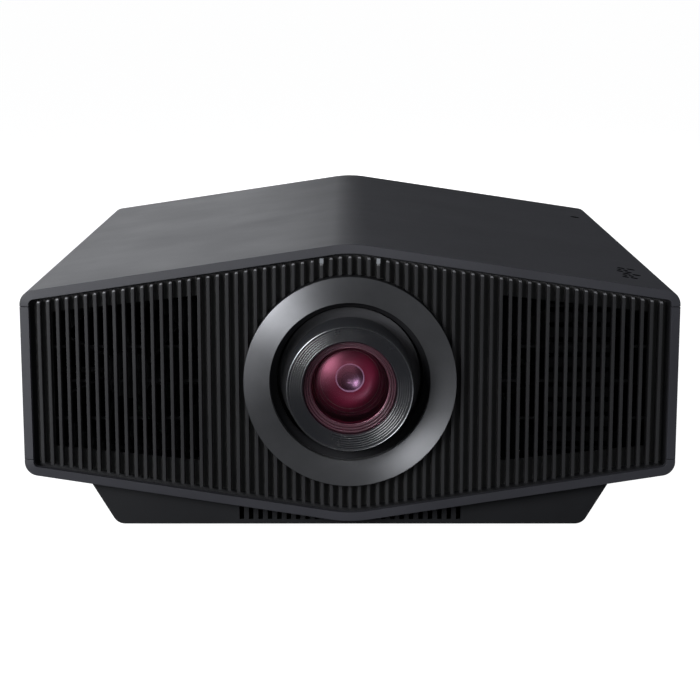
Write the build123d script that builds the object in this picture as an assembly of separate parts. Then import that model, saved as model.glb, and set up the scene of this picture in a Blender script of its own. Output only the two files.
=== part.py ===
from build123d import *
import math
import os

# A home projector. Millimetres, +Z up, the lens looks along -Y, and +X is on the right of a person who faces
# the lens. The origin is on the surface it stands on, at the middle of its width and of its length.

# ---- driving dimensions ----
WIDTH = 460.0                 # across the two side panels
BODY_DEPTH = 517.0            # front rim to rear rim
LENS_PROUD = 26.5             # lens rim in front of the front rim
FOOT_HEIGHT = 7.6             # gap under the base plinth

ROOF_APEX_Z = 211.97          # where the two roof planes would meet
ROOF_SLOPE = 0.1506           # fall per millimetre of X
KEEL_APEX_Z = 11.65           # where the two underside planes would meet
KEEL_SLOPE = 0.1549           # rise per millimetre of X
RIDGE_RADIUS = 90.0           # soft ridge and keel
SHOULDER_RADIUS = 10.0        # four outer corners of the section
SMALLEST_CORNER_RADIUS = 1.5  # where an inner wall follows those corners
EDGE_CHAMFER = 0.6            # outer front and rear edges

WALL = 2.5                    # moulded housing wall
RIM_WIDTH = 5.65              # visible face of the front rim
RIM_DEPTH = 5.0
REAR_RIM_WIDTH = 5.0
REAR_RIM_DEPTH = 4.0
TOP_SEAM_Z = 167.2            # top cover to side panel
LOW_SEAM_Z = 58.0             # side panel to bottom cover
SEAM_GAP = 0.4
FIT_GAP = 0.3                 # loose gap between neighbours
RUNNING_GAP = 0.05            # radial gap of a shaft in its hole

SLAT_COUNT = 67
SLAT_PITCH = 6.58
SLAT_WIDTH = 2.3
SLAT_SETBACK = 2.5            # slat front behind the rim face
PLATE_SETBACK = 10.5          # grille plate front behind the rim face
PLATE_THICKNESS = 2.0
SLAT_END_GAP = 3.0            # slat ends to the rim's inner edge

LENS_Z = 114.2                # height of the lens axis
RING_OUTER_R = 74.6
RING_INNER_R = 56.3
RING_PROUD = 4.0
BARREL_R = 43.8
TUBE_R = 40.0                 # lens tube behind the barrel's head
GLASS_R = 32.4

BASE_HALF_WIDTH = 166.5       # at the underside
BASE_FLARE = 0.598            # sideways growth per millimetre of height
BASE_CORNER_RADIUS = 9.0
BASE_SETBACK = 12.0           # base front behind the rim face
BASE_WALL = 3.0
BASE_SLOT_COUNT = 24
BASE_SLOT_PITCH = 6.75
BASE_SLOT_WIDTH = 3.3
BASE_SLOT_Z = 10.85

FOOT_X = 140.0
FRONT_FOOT_SETBACK = 66.0
REAR_FOOT_SETBACK = 60.0
CEILING_SPACING_X = 220.0
CEILING_SPACING_Y = 260.0
CEILING_HOLE_R = 2.5

BEYOND = 300.0                # further than any part reaches
# ---- places worked out from them ----
FRONT_Y = -(BODY_DEPTH + LENS_PROUD) / 2 + LENS_PROUD
REAR_Y = FRONT_Y + BODY_DEPTH
MIDDLE_Y = (FRONT_Y + REAR_Y) / 2
PLATE_Y = FRONT_Y + PLATE_SETBACK
BASE_FRONT_Y = FRONT_Y + BASE_SETBACK
BASE_REAR_Y = REAR_Y - BASE_SETBACK
FRONT_FOOT_Y = FRONT_Y + FRONT_FOOT_SETBACK
REAR_FOOT_Y = REAR_Y - REAR_FOOT_SETBACK

parts = {}


# ---- shape helpers ----
def block(x0, x1, y0, y1, z0, z1):
    """A box between two corners."""
    return Pos((x0 + x1) / 2, (y0 + y1) / 2, (z0 + z1) / 2) * Box(x1 - x0, y1 - y0, z1 - z0)


def bar_x(radius, x0, x1, y, z):
    return Pos((x0 + x1) / 2, y, z) * Rot(0, 90, 0) * Cylinder(radius, x1 - x0)


def bar_y(radius, y0, y1, x=0.0, z=LENS_Z):
    return Pos(x, (y0 + y1) / 2, z) * Rot(90, 0, 0) * Cylinder(radius, y1 - y0)


def bar_z(radius, z0, z1, x, y):
    return Pos(x, y, (z0 + z1) / 2) * Cylinder(radius, z1 - z0)


def prism(face, y0, y1):
    """A face drawn as (X, Z), extruded from y0 to y1."""
    return extrude(Plane(origin=(0, y1, 0), x_dir=(1, 0, 0), z_dir=(0, -1, 0)) * face, y1 - y0)


def polygon(*points):
    return make_face(Polyline(*points, close=True))


def turned_y(*points, x=0.0, z=LENS_Z):
    """A profile of (radius, Y) points, turned about the Y axis through (x, z)."""
    return Pos(x, 0, z) * revolve(polygon(*points), Axis.Y)


def turned_z(x, y, *points):
    """A profile of (radius, Z) points, turned about the Z axis through (x, y)."""
    return Pos(x, y, 0) * revolve(Plane.XZ * polygon(*points), Axis.Z)


def joined(shapes):
    """One shape from several that touch."""
    shapes = list(shapes)
    return shapes[0].fuse(*shapes[1:])


def group(shapes):
    """Separate solids in one node."""
    solids = []
    for shape in shapes:
        solids.extend(shape.solids())
    return Compound(children=solids)


def outline(inset):
    """The housing's six-sided section, drawn inwards by inset."""
    top = ROOF_APEX_Z - inset * math.hypot(1, ROOF_SLOPE)
    low = KEEL_APEX_Z + inset * math.hypot(1, KEEL_SLOPE)
    half = WIDTH / 2 - inset
    shoulder_z = top - ROOF_SLOPE * half
    hip_z = low + KEEL_SLOPE * half
    right = [(0, top), (half, shoulder_z), (half, hip_z), (0, low)]
    left = [(-half, hip_z), (-half, shoulder_z)]
    face = polygon(*right, *left)
    corners = [v for v in face.vertices() if abs(v.X) > 1]
    face = fillet(corners, max(SHOULDER_RADIUS - inset, SMALLEST_CORNER_RADIUS))
    ridges = [v for v in face.vertices() if abs(v.X) < 1]
    return fillet(ridges, RIDGE_RADIUS - inset)


# ---- housing shells ----
def housing_shell():
    shell = prism(outline(0), FRONT_Y, REAR_Y)
    front_edges = shell.faces().sort_by(Axis.Y)[0].outer_wire().edges()
    shell = chamfer(front_edges, EDGE_CHAMFER)
    rear_edges = shell.faces().sort_by(Axis.Y)[-1].outer_wire().edges()
    shell = chamfer(rear_edges, EDGE_CHAMFER)
    shell -= prism(outline(RIM_WIDTH), FRONT_Y - 1, FRONT_Y + RIM_DEPTH)
    shell -= prism(outline(WALL), FRONT_Y + RIM_DEPTH, REAR_Y - REAR_RIM_DEPTH)
    shell -= prism(outline(REAR_RIM_WIDTH), REAR_Y - REAR_RIM_DEPTH, REAR_Y + 1)
    return shell


TONGUE_THICKNESS = 1.5
TONGUE_ROOT = 2.5             # height that stays on the cover's own wall
TONGUE_REACH = 6.0            # how far it goes past the seam
TONGUE_END_GAP = 20.0         # short of the front and the rear


def seam_tongue(side, root_z0, root_z1, tip_z0, tip_z1):
    """A lip on a cover's inner wall that locates it inside the side panel."""
    wall = WIDTH / 2 - WALL
    y0 = FRONT_Y + TONGUE_END_GAP
    y1 = REAR_Y - TONGUE_END_GAP
    root = block(wall - TONGUE_THICKNESS, wall + 0.1, y0, y1, root_z0, root_z1)
    tip = block(wall - TONGUE_THICKNESS, wall - 0.1, y0, y1, tip_z0, tip_z1)
    lip = root + tip
    return lip if side > 0 else mirror(lip, Plane.YZ)


CONTROL_Y0 = FRONT_Y + 28
CONTROL_Y1 = FRONT_Y + 104
CONTROL_Z0 = 118.0
CONTROL_Z1 = 158.0
CONTROL_POCKET_X = 220.0


def make_shells():
    shell = housing_shell()
    half_gap = SEAM_GAP / 2
    top = shell & block(-BEYOND, BEYOND, -BEYOND, BEYOND, TOP_SEAM_Z + half_gap, BEYOND)
    low = shell & block(-BEYOND, BEYOND, -BEYOND, BEYOND, -BEYOND, LOW_SEAM_Z - half_gap)
    right = shell & block(0, BEYOND, -BEYOND, BEYOND, LOW_SEAM_Z + half_gap, TOP_SEAM_Z - half_gap)
    left = shell & block(-BEYOND, 0, -BEYOND, BEYOND, LOW_SEAM_Z + half_gap, TOP_SEAM_Z - half_gap)
    top_root = TOP_SEAM_Z + TONGUE_ROOT
    low_root = LOW_SEAM_Z - TONGUE_ROOT
    for side in (-1, 1):
        top += seam_tongue(side, TOP_SEAM_Z + half_gap, top_root, TOP_SEAM_Z - TONGUE_REACH, top_root)
        low += seam_tongue(side, low_root, LOW_SEAM_Z - half_gap, low_root, LOW_SEAM_Z + TONGUE_REACH)
    right -= block(CONTROL_POCKET_X, BEYOND, CONTROL_Y0, CONTROL_Y1, CONTROL_Z0, CONTROL_Z1)
    parts["top_cover"] = top
    parts["side_panel_left"] = left
    parts["side_panel_right"] = right
    parts["bottom_cover"] = low


# ---- base plinth and feet ----
def keel_z(x):
    return KEEL_APEX_Z + KEEL_SLOPE * abs(x)


def base_section(inset):
    """The plinth's section: a flat underside, flared sides and the keel's V on top."""
    low = FOOT_HEIGHT + inset
    half_low = BASE_HALF_WIDTH + BASE_FLARE * inset - inset * math.hypot(1, BASE_FLARE)
    top_x = (half_low + BASE_FLARE * (KEEL_APEX_Z - low)) / (1 - BASE_FLARE * KEEL_SLOPE)
    top_z = keel_z(top_x)
    face = polygon((-half_low, low), (half_low, low), (top_x, top_z), (0, KEEL_APEX_Z), (-top_x, top_z))
    corners = [v for v in face.vertices() if v.Y < low + 0.01]
    return fillet(corners, BASE_CORNER_RADIUS - inset)


def ceiling_holes():
    for side_x in (-1, 1):
        for side_y in (-1, 1):
            yield side_x * CEILING_SPACING_X / 2, MIDDLE_Y + side_y * CEILING_SPACING_Y / 2


STEM_R = 4.0
FOOT_BOSS_R = 8.0
FOOT_BOSS_TOP_Z = 27.0
CEILING_BOSS_R = 6.0
CEILING_BOSS_TOP_Z = 22.0
CEILING_HOLE_DEPTH = 12.0


def base_plinth():
    plinth = prism(base_section(0), BASE_FRONT_Y, BASE_REAR_Y)
    hollow = prism(base_section(BASE_WALL), BASE_FRONT_Y + BASE_WALL, BASE_REAR_Y - BASE_WALL)
    plinth -= hollow
    for i in range(BASE_SLOT_COUNT):
        x = (i - (BASE_SLOT_COUNT - 1) / 2) * BASE_SLOT_PITCH
        slot = block(
            x - BASE_SLOT_WIDTH / 2, x + BASE_SLOT_WIDTH / 2,
            BASE_FRONT_Y - 1, BASE_FRONT_Y + BASE_WALL + 1, BASE_SLOT_Z, BEYOND,
        )
        plinth -= slot
    floor_z = FOOT_HEIGHT + BASE_WALL
    for side in (-1, 1):
        plinth += bar_z(FOOT_BOSS_R, floor_z - 1, FOOT_BOSS_TOP_Z, side * FOOT_X, FRONT_FOOT_Y)
        plinth -= bar_z(STEM_R + RUNNING_GAP, 0, FOOT_BOSS_TOP_Z + 1, side * FOOT_X, FRONT_FOOT_Y)
    for x, y in ceiling_holes():
        plinth += bar_z(CEILING_BOSS_R, floor_z - 1, CEILING_BOSS_TOP_Z, x, y)
        plinth -= bar_z(CEILING_HOLE_R, 0, FOOT_HEIGHT + CEILING_HOLE_DEPTH, x, y)
    return plinth


PAD_R = 17.0
PAD_TOP_Z = 3.0
COLLAR_R = 5.0
COLLAR_TOP_Z = 4.5
DISC_R = 15.5
DISC_TOP_Z = 7.3
STEM_LENGTH = 16.0
KNURL_COUNT = 24
KNURL_R = 0.8
REAR_FOOT_R = 15.0


def foot_screw(side):
    """Knurled disc and threaded stem of a levelling foot."""
    x = side * FOOT_X
    stem_top = DISC_TOP_Z + STEM_LENGTH
    socket_r = COLLAR_R + RUNNING_GAP
    socket_z = COLLAR_TOP_Z + FIT_GAP
    disc_z = PAD_TOP_Z + FIT_GAP
    screw = turned_z(
        x, FRONT_FOOT_Y,
        (0, socket_z), (socket_r, socket_z), (socket_r, disc_z), (DISC_R - 0.5, disc_z),
        (DISC_R, disc_z + 0.5), (DISC_R, DISC_TOP_Z - 0.5), (DISC_R - 0.5, DISC_TOP_Z),
        (STEM_R, DISC_TOP_Z), (STEM_R, stem_top), (0, stem_top),
    )
    disc_middle = Pos(x, FRONT_FOOT_Y, (disc_z + DISC_TOP_Z) / 2)
    notch = Pos(DISC_R + 0.4, 0, 0) * Cylinder(KNURL_R, 8)
    for i in range(KNURL_COUNT):
        screw -= disc_middle * Rot(0, 0, i * 360 / KNURL_COUNT) * notch
    return screw


def foot_pad(side):
    """Rubber pad with a collar that the screw turns on."""
    return turned_z(
        side * FOOT_X, FRONT_FOOT_Y,
        (0, 0), (PAD_R - 1, 0), (PAD_R, 1), (PAD_R, PAD_TOP_Z - 0.6), (PAD_R - 0.6, PAD_TOP_Z),
        (COLLAR_R, PAD_TOP_Z), (COLLAR_R, COLLAR_TOP_Z), (0, COLLAR_TOP_Z),
    )


def rear_feet():
    profile = ((0, 0), (REAR_FOOT_R - 1, 0), (REAR_FOOT_R, 1), (REAR_FOOT_R, FOOT_HEIGHT), (0, FOOT_HEIGHT))
    return group(turned_z(side * FOOT_X, REAR_FOOT_Y, *profile) for side in (-1, 1))


BASE_SCREW_X = 95.0
BASE_SCREW_SETBACK = 30.0
REAR_SCREW_X = 84.5
REAR_SCREW_Z = (52.0, 164.0)
SCREW_HEAD_R = 3.0
SCREW_HEAD_HEIGHT = 1.0
CROSS_LENGTH = 3.2
CROSS_WIDTH = 0.7
CROSS_DEPTH = 0.9


def housing_screws():
    """Pan-head screws: under the base and at the rear panel's corners."""
    screws = []
    head_profile = ((0, 0), (SCREW_HEAD_R, 0), (SCREW_HEAD_R, 0.6), (SCREW_HEAD_R - 0.6, SCREW_HEAD_HEIGHT),
                    (0, SCREW_HEAD_HEIGHT))
    for x in (-BASE_SCREW_X, BASE_SCREW_X):
        for y in (BASE_FRONT_Y + BASE_SCREW_SETBACK, BASE_REAR_Y - BASE_SCREW_SETBACK):
            head_z = FOOT_HEIGHT - SCREW_HEAD_HEIGHT
            screw = turned_z(x, y, *((r, FOOT_HEIGHT - rise) for r, rise in head_profile))
            screw -= Pos(x, y, head_z) * Box(CROSS_LENGTH, CROSS_WIDTH, CROSS_DEPTH)
            screw -= Pos(x, y, head_z) * Box(CROSS_WIDTH, CROSS_LENGTH, CROSS_DEPTH)
            screws.append(screw)
    for x in (-REAR_SCREW_X, REAR_SCREW_X):
        for z in REAR_SCREW_Z:
            head_y = REAR_PLATE_Y + SCREW_HEAD_HEIGHT
            screw = turned_y(*((r, REAR_PLATE_Y + rise) for r, rise in head_profile), x=x, z=z)
            screw -= Pos(x, head_y, z) * Box(CROSS_LENGTH, CROSS_DEPTH, CROSS_WIDTH)
            screw -= Pos(x, head_y, z) * Box(CROSS_WIDTH, CROSS_DEPTH, CROSS_LENGTH)
            screws.append(screw)
    return group(screws)


# ---- front grille ----
WINDOW_INNER_X = 105.0
WINDOW_OUTER_X = 209.0
WINDOW_TOP_Z = (174.0, 162.0)      # at the inner and the outer edge
WINDOW_LOW_Z = (54.7, 65.5)
CROSS_BAR_Z = (85.7, 112.7, 137.3)
CROSS_BAR_HEIGHT = 2.0
INDICATOR_SLAT = 3                 # counted from the middle slat
INDICATOR_Z = 199.0
INDICATOR_WIDTH = 2.6
INDICATOR_HEIGHT = 3.5
PLATE_HOLE_R = 59.0
MESH_SETBACK = 19.5
MESH_THICKNESS = 1.0
MESH_X = (139.5, 185.5)
MESH_Z = (60.7, 166.0)
MESH_COLUMNS = 7
MESH_ROWS = 10
MESH_HOLE = 3.7
MESH_ROW_PITCH = 10.8
MESH_FIRST_ROW_Z = 64.8


def vent_window(side):
    return polygon(
        (side * WINDOW_INNER_X, WINDOW_LOW_Z[0]), (side * WINDOW_OUTER_X, WINDOW_LOW_Z[1]),
        (side * WINDOW_OUTER_X, WINDOW_TOP_Z[1]), (side * WINDOW_INNER_X, WINDOW_TOP_Z[0]),
    )


def front_grille():
    back_y = PLATE_Y + PLATE_THICKNESS
    plate = prism(outline(WALL + FIT_GAP), PLATE_Y, back_y)
    plate -= bar_y(PLATE_HOLE_R, PLATE_Y - 1, back_y + 1)
    for side in (-1, 1):
        plate -= prism(vent_window(side), PLATE_Y - 1, back_y + 1)
    front_y = FRONT_Y + SLAT_SETBACK
    room = prism(outline(RIM_WIDTH + SLAT_END_GAP), front_y, PLATE_Y)
    room -= bar_y(RING_OUTER_R + FIT_GAP, front_y - 1, PLATE_Y + 1)
    pieces = [plate]
    middle = SLAT_COUNT // 2
    for i in range(-middle, middle + 1):
        x = i * SLAT_PITCH
        slat = room & block(x - SLAT_WIDTH / 2, x + SLAT_WIDTH / 2, front_y, PLATE_Y, 0, BEYOND)
        if abs(i) == INDICATOR_SLAT:
            slat -= block(x - 3, x + 3, front_y - 1, PLATE_Y - 2, INDICATOR_Z - 2, BEYOND)
        pieces.extend(slat.solids())
    first = math.ceil(WINDOW_INNER_X / SLAT_PITCH)
    last = math.floor(WINDOW_OUTER_X / SLAT_PITCH)
    for side in (-1, 1):
        for row, bar_z_middle in enumerate(CROSS_BAR_Z):
            for i in range(first - 2 + 2 * (row % 2), last, 4):
                x0 = max(i * SLAT_PITCH, WINDOW_INNER_X - 1)
                x1 = min((i + 2) * SLAT_PITCH, WINDOW_OUTER_X + 1)
                if x1 <= WINDOW_INNER_X:
                    continue
                low_x, high_x = sorted((side * x0, side * x1))
                low_z = bar_z_middle - CROSS_BAR_HEIGHT / 2
                pieces.append(block(low_x, high_x, PLATE_Y, back_y, low_z, low_z + CROSS_BAR_HEIGHT))
    return joined(pieces)


def indicator_windows():
    """Two small light pipes at the tops of slats."""
    pipes = []
    for side in (-1, 1):
        x = side * INDICATOR_SLAT * SLAT_PITCH
        half_width = INDICATOR_WIDTH / 2
        half_height = INDICATOR_HEIGHT / 2
        y0 = FRONT_Y + SLAT_SETBACK - FIT_GAP
        pipes.append(block(x - half_width, x + half_width, y0, PLATE_Y - 2,
                           INDICATOR_Z - half_height, INDICATOR_Z + half_height))
    return group(pipes)


def exhaust_mesh():
    """Perforated plate behind the right vent window."""
    y0 = FRONT_Y + MESH_SETBACK
    y1 = y0 + MESH_THICKNESS
    plate = block(*MESH_X, y0, y1, *MESH_Z)
    half = MESH_HOLE / 2
    for column in range(MESH_COLUMNS):
        for row in range(MESH_ROWS):
            x = sum(MESH_X) / 2 + (column - (MESH_COLUMNS - 1) / 2) * SLAT_PITCH
            z = MESH_FIRST_ROW_Z + row * MESH_ROW_PITCH
            plate -= block(x - half, x + half, y0 - 1, y1 + 1, z - half, z + half)
    return plate


RING_SKIRT_R = 72.0                # inside of the wall that reaches back to the plate
RING_WEB_SETBACK = 3.0
CUP_INNER_R = 56.4
CUP_OUTER_R = 58.4
CUP_FLANGE_R = 68.0
CUP_WALL = 2.0
CUP_FLOOR_Y = FRONT_Y + 43.0
CUP_FLOOR_HOLE_R = 52.5


def lens_ring():
    face_y = FRONT_Y - RING_PROUD
    web_y = FRONT_Y + RING_WEB_SETBACK
    return turned_y(
        (RING_OUTER_R, PLATE_Y), (RING_OUTER_R, face_y + 0.8), (RING_OUTER_R - 0.8, face_y),
        (RING_INNER_R + 1.0, face_y + 0.3), (RING_INNER_R, face_y + 1.1), (RING_INNER_R, web_y),
        (RING_SKIRT_R, web_y), (RING_SKIRT_R, PLATE_Y),
    )


def lens_recess_cup():
    y0 = FRONT_Y + RING_WEB_SETBACK + 0.2
    flange_y = PLATE_Y + PLATE_THICKNESS
    back_y = CUP_FLOOR_Y + CUP_WALL
    return turned_y(
        (CUP_INNER_R, y0), (CUP_OUTER_R, y0), (CUP_OUTER_R, flange_y), (CUP_FLANGE_R, flange_y),
        (CUP_FLANGE_R, flange_y + CUP_WALL), (CUP_OUTER_R, flange_y + CUP_WALL), (CUP_OUTER_R, back_y),
        (CUP_FLOOR_HOLE_R, back_y), (CUP_FLOOR_HOLE_R, CUP_FLOOR_Y), (CUP_INNER_R, CUP_FLOOR_Y),
    )


# ---- lens and its shift carriages ----
SIDE_PLATE_Y = FRONT_Y + 46.0        # horizontal carriage
SIDE_PLATE_THICKNESS = 10.0
LIFT_PLATE_Y = FRONT_Y + 57.5        # vertical carriage
LIFT_PLATE_THICKNESS = 6.0
MOUNT_Y = FRONT_Y + 70.0             # fixed lens mount frame
MOUNT_THICKNESS = 6.0
LIFT_ROD_X = 80.0
LIFT_ROD_R = 4.0
LIFT_ROD_Y = LIFT_PLATE_Y + LIFT_PLATE_THICKNESS / 2
LIFT_SCREW_X = -100.0
LEAD_SCREW_R = 3.0
SIDE_SCREW_Z = LENS_Z - 68.0
SIDE_SCREW_Y = SIDE_PLATE_Y + SIDE_PLATE_THICKNESS / 2
RAIL_Z = 52.0                        # horizontal rails above and below the axis
TUBE_END_Y = FRONT_Y + 150.0
ZOOM_RING_Y = FRONT_Y + 84.0
FOCUS_RING_Y = FRONT_Y + 112.0
RING_WIDTH = 12.0
GEAR_MODULE = 1.0
RING_TEETH = 96
PINION_TEETH = 12
PINION_DISTANCE = (RING_TEETH + PINION_TEETH) * GEAR_MODULE / 2
ZOOM_PINION_ANGLE = 45.0
FOCUS_PINION_ANGLE = 135.0
GROUP_BORE_R = 37.0
GLASS_EDGE_DEPTH = 3.2               # glass edge behind the barrel's rim
GLASS_OUTER_SAG = 2.8
GLASS_INNER_SAG = 3.5
GLASS_THICKNESS = 6.3
ROD_Z = (34.0, 192.0)                # ends of the upright guide rods
LIFT_MOTOR_R = 8.0
LIFT_MOTOR_Z = (40.0, 60.0)
LIFT_SCREW_Z = (56.0, 168.0)
SIDE_MOTOR_R = 6.2
SIDE_MOTOR_X = (40.0, 60.0)
SIDE_SCREW_X = (-32.0, 44.0)
SHAFT_CLEARANCE = 0.5
GROUP_GLASS_R = 28.0
ZOOM_GROUP_Y = FRONT_Y + 40.0
ZOOM_GROUP_LENGTH = 16.0
FOCUS_GROUP_Y = FRONT_Y + 95.0
FOCUS_GROUP_LENGTH = 14.0


def lens_barrel():
    rim_y = FRONT_Y - LENS_PROUD
    cone_y = rim_y + 3.0
    head_y = SIDE_PLATE_Y - 0.5
    return turned_y(
        (BARREL_R, head_y), (BARREL_R, rim_y + 0.6), (BARREL_R - 0.6, rim_y), (BARREL_R - 1.4, rim_y),
        (BARREL_R - 1.8, rim_y + 0.5), (GLASS_R + 0.1, cone_y), (GLASS_R + 0.1, cone_y + 8),
        (30.5, cone_y + 8), (30.5, cone_y + 12), (GROUP_BORE_R, cone_y + 18),
        (GROUP_BORE_R, TUBE_END_Y), (TUBE_R, TUBE_END_Y), (TUBE_R, head_y),
    )


def cap_radius(sag):
    """Radius of the sphere whose cap is as wide as the glass and as deep as sag."""
    return (GLASS_R ** 2 + sag ** 2) / (2 * sag)


def front_glass():
    """Meniscus: domed outer face, gently hollow inner face."""
    apex_y = FRONT_Y - LENS_PROUD + GLASS_EDGE_DEPTH - GLASS_OUTER_SAG
    inner_apex_y = apex_y + GLASS_THICKNESS
    outer_radius = cap_radius(GLASS_OUTER_SAG)
    inner_radius = cap_radius(GLASS_INNER_SAG)
    glass = bar_y(GLASS_R, apex_y - 1, inner_apex_y + GLASS_INNER_SAG)
    glass &= Pos(0, apex_y + outer_radius, LENS_Z) * Sphere(outer_radius)
    return glass - Pos(0, inner_apex_y + inner_radius, LENS_Z) * Sphere(inner_radius)


def horizontal_carriage():
    """Plate that carries the lens and slides sideways between two rails."""
    y0 = SIDE_PLATE_Y
    y1 = y0 + SIDE_PLATE_THICKNESS
    plate = block(-58, 58, y0, y0 + 5, LENS_Z - RAIL_Z, LENS_Z + RAIL_Z)
    plate += block(-50, 50, y0, y1, LENS_Z + 43, LENS_Z + RAIL_Z)
    plate += block(-50, 50, y0, y1, LENS_Z - RAIL_Z, LENS_Z - 43)
    plate += block(-9, 9, y0, y1, SIDE_SCREW_Z - 7, LENS_Z - RAIL_Z)
    plate -= bar_y(TUBE_R + 0.02, y0 - 1, y1 + 1)
    return plate - bar_x(LEAD_SCREW_R + RUNNING_GAP, -20, 20, SIDE_SCREW_Y, SIDE_SCREW_Z)


def vertical_carriage():
    """Frame that rises and falls on two rods and holds the sideways rails."""
    y0 = LIFT_PLATE_Y
    y1 = y0 + LIFT_PLATE_THICKNESS
    frame = block(-88, 88, y0, y1, LENS_Z - 60, LENS_Z + 60)
    frame += block(-106, -88, y0, y1, LENS_Z - 12, LENS_Z + 12)
    frame += block(28, 40, y0, y1, SIDE_SCREW_Z - 8, LENS_Z - 60)
    frame -= block(-(TUBE_R + 7), TUBE_R + 7, y0 - 1, y1 + 1, LENS_Z - 42, LENS_Z + 42)
    rail_front = SIDE_PLATE_Y + 1
    for side in (-1, 1):
        low, high = sorted((LENS_Z + side * (RAIL_Z + FIT_GAP), LENS_Z + side * (RAIL_Z + 6)))
        rail = block(-60, 60, rail_front, y0, low, high)
        rail -= block(-15, 15, rail_front - 1, y0 + 1, 0, LENS_Z)
        frame += rail
        rod_x = side * LIFT_ROD_X
        frame += block(rod_x - 8, rod_x + 8, y0 - 4, y1 + 4, LENS_Z - 30, LENS_Z + 30)
        frame -= bar_z(LIFT_ROD_R + RUNNING_GAP, *ROD_Z, rod_x, LIFT_ROD_Y)
    frame += block(-106, -94, y0 - 4, y1 + 4, LENS_Z - 8, LENS_Z + 8)
    frame -= bar_z(LEAD_SCREW_R + RUNNING_GAP, *LIFT_SCREW_Z, LIFT_SCREW_X, LIFT_ROD_Y)
    ear = block(36, 40, SIDE_PLATE_Y, y0, SIDE_SCREW_Z - 8, SIDE_SCREW_Z + 8)
    ear -= bar_x(LEAD_SCREW_R + SHAFT_CLEARANCE, 30, 45, SIDE_SCREW_Y, SIDE_SCREW_Z)
    return frame + ear


def lens_mount_frame():
    """Fixed frame: holds the rods, and bolts to the chassis tray."""
    y0 = MOUNT_Y
    y1 = y0 + MOUNT_THICKNESS
    frame = block(-112, 95, y0, y1, *ROD_Z)
    frame -= block(-112.5, -94, y0 - 1, y1 + 1, 70, 193)
    frame -= block(-68, 68, y0 - 1, y1 + 1, LENS_Z - 66, LENS_Z + 66)
    for side in (-1, 1):
        rod_x = side * LIFT_ROD_X
        for z0, z1 in ((ROD_Z[0], ROD_Z[0] + 10), (ROD_Z[1] - 10, ROD_Z[1])):
            ear = block(rod_x - 8, rod_x + 8, LIFT_ROD_Y - 7, y0, z0, z1)
            frame += ear - bar_z(LIFT_ROD_R, z0 - 1, z1 + 1, rod_x, LIFT_ROD_Y)
    shelf_z = LIFT_MOTOR_Z[1]
    shelf = block(-112, -90, LIFT_ROD_Y - 7, y0, shelf_z, shelf_z + 3)
    shelf -= bar_z(LEAD_SCREW_R + SHAFT_CLEARANCE, shelf_z - 1, shelf_z + 4, LIFT_SCREW_X, LIFT_ROD_Y)
    frame += shelf
    frame += block(-70, 70, y1, y1 + 22, TRAY_Z1, TRAY_Z1 + 3)
    frame += block(-70, 70, y0, y1, TRAY_Z1, TRAY_Z1 + 8)
    return frame


def vertical_guide_rods():
    return group(bar_z(LIFT_ROD_R, *ROD_Z, side * LIFT_ROD_X, LIFT_ROD_Y) for side in (-1, 1))


def shift_motor_vertical():
    """Stepper under the shelf; its shaft is the lead screw above."""
    z0, z1 = LIFT_MOTOR_Z
    body = bar_z(LIFT_MOTOR_R, z0, z1, LIFT_SCREW_X, LIFT_ROD_Y)
    return body - bar_z(LEAD_SCREW_R + SHAFT_CLEARANCE, z1 - 5, z1 + 1, LIFT_SCREW_X, LIFT_ROD_Y)


def vertical_lead_screw():
    return bar_z(LEAD_SCREW_R, *LIFT_SCREW_Z, LIFT_SCREW_X, LIFT_ROD_Y)


def shift_motor_horizontal():
    x0, x1 = SIDE_MOTOR_X
    body = bar_x(SIDE_MOTOR_R, x0, x1, SIDE_SCREW_Y, SIDE_SCREW_Z)
    return body - bar_x(LEAD_SCREW_R + SHAFT_CLEARANCE, x0 - 1, x0 + 5, SIDE_SCREW_Y, SIDE_SCREW_Z)


def horizontal_lead_screw():
    return bar_x(LEAD_SCREW_R, *SIDE_SCREW_X, SIDE_SCREW_Y, SIDE_SCREW_Z)


def gear(teeth, y0, width, bore_r, phase=0.0):
    """Spur gear along Y, centred on the origin's axis, with short wide-spaced teeth."""
    pitch_r = teeth * GEAR_MODULE / 2
    tip_r = pitch_r + 0.8 * GEAR_MODULE
    root_r = pitch_r - 1.0 * GEAR_MODULE
    step = 2 * math.pi / teeth
    root_half = 0.25 * step
    tip_half = 0.12 * step
    points = []
    for i in range(teeth):
        middle = phase + i * step
        corners = ((root_r, -root_half), (tip_r, -tip_half), (tip_r, tip_half), (root_r, root_half))
        for radius, angle in corners:
            points.append((radius * math.cos(middle + angle), radius * math.sin(middle + angle)))
    wheel = prism(polygon(*points), y0, y0 + width)
    return wheel - bar_y(bore_r, y0 - 1, y0 + width + 1, 0, 0)


def drive_ring(y0):
    return Pos(0, 0, LENS_Z) * gear(RING_TEETH, y0, RING_WIDTH, TUBE_R + RUNNING_GAP)


def pinion_place(angle):
    radians = math.radians(angle)
    return PINION_DISTANCE * math.cos(radians), LENS_Z + PINION_DISTANCE * math.sin(radians)


PINION_BORE_R = 1.5
MOTOR_R = 7.0
MOTOR_LENGTH = 16.0


def drive_pinion(angle, ring_y):
    """Pinion in mesh with the ring: a gap of the pinion faces a tooth of the ring."""
    x, z = pinion_place(angle)
    facing = math.radians(angle) + math.pi
    phase = facing + math.pi / PINION_TEETH
    return Pos(x, 0, z) * gear(PINION_TEETH, ring_y + 1, RING_WIDTH - 2, PINION_BORE_R + RUNNING_GAP, phase)


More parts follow.
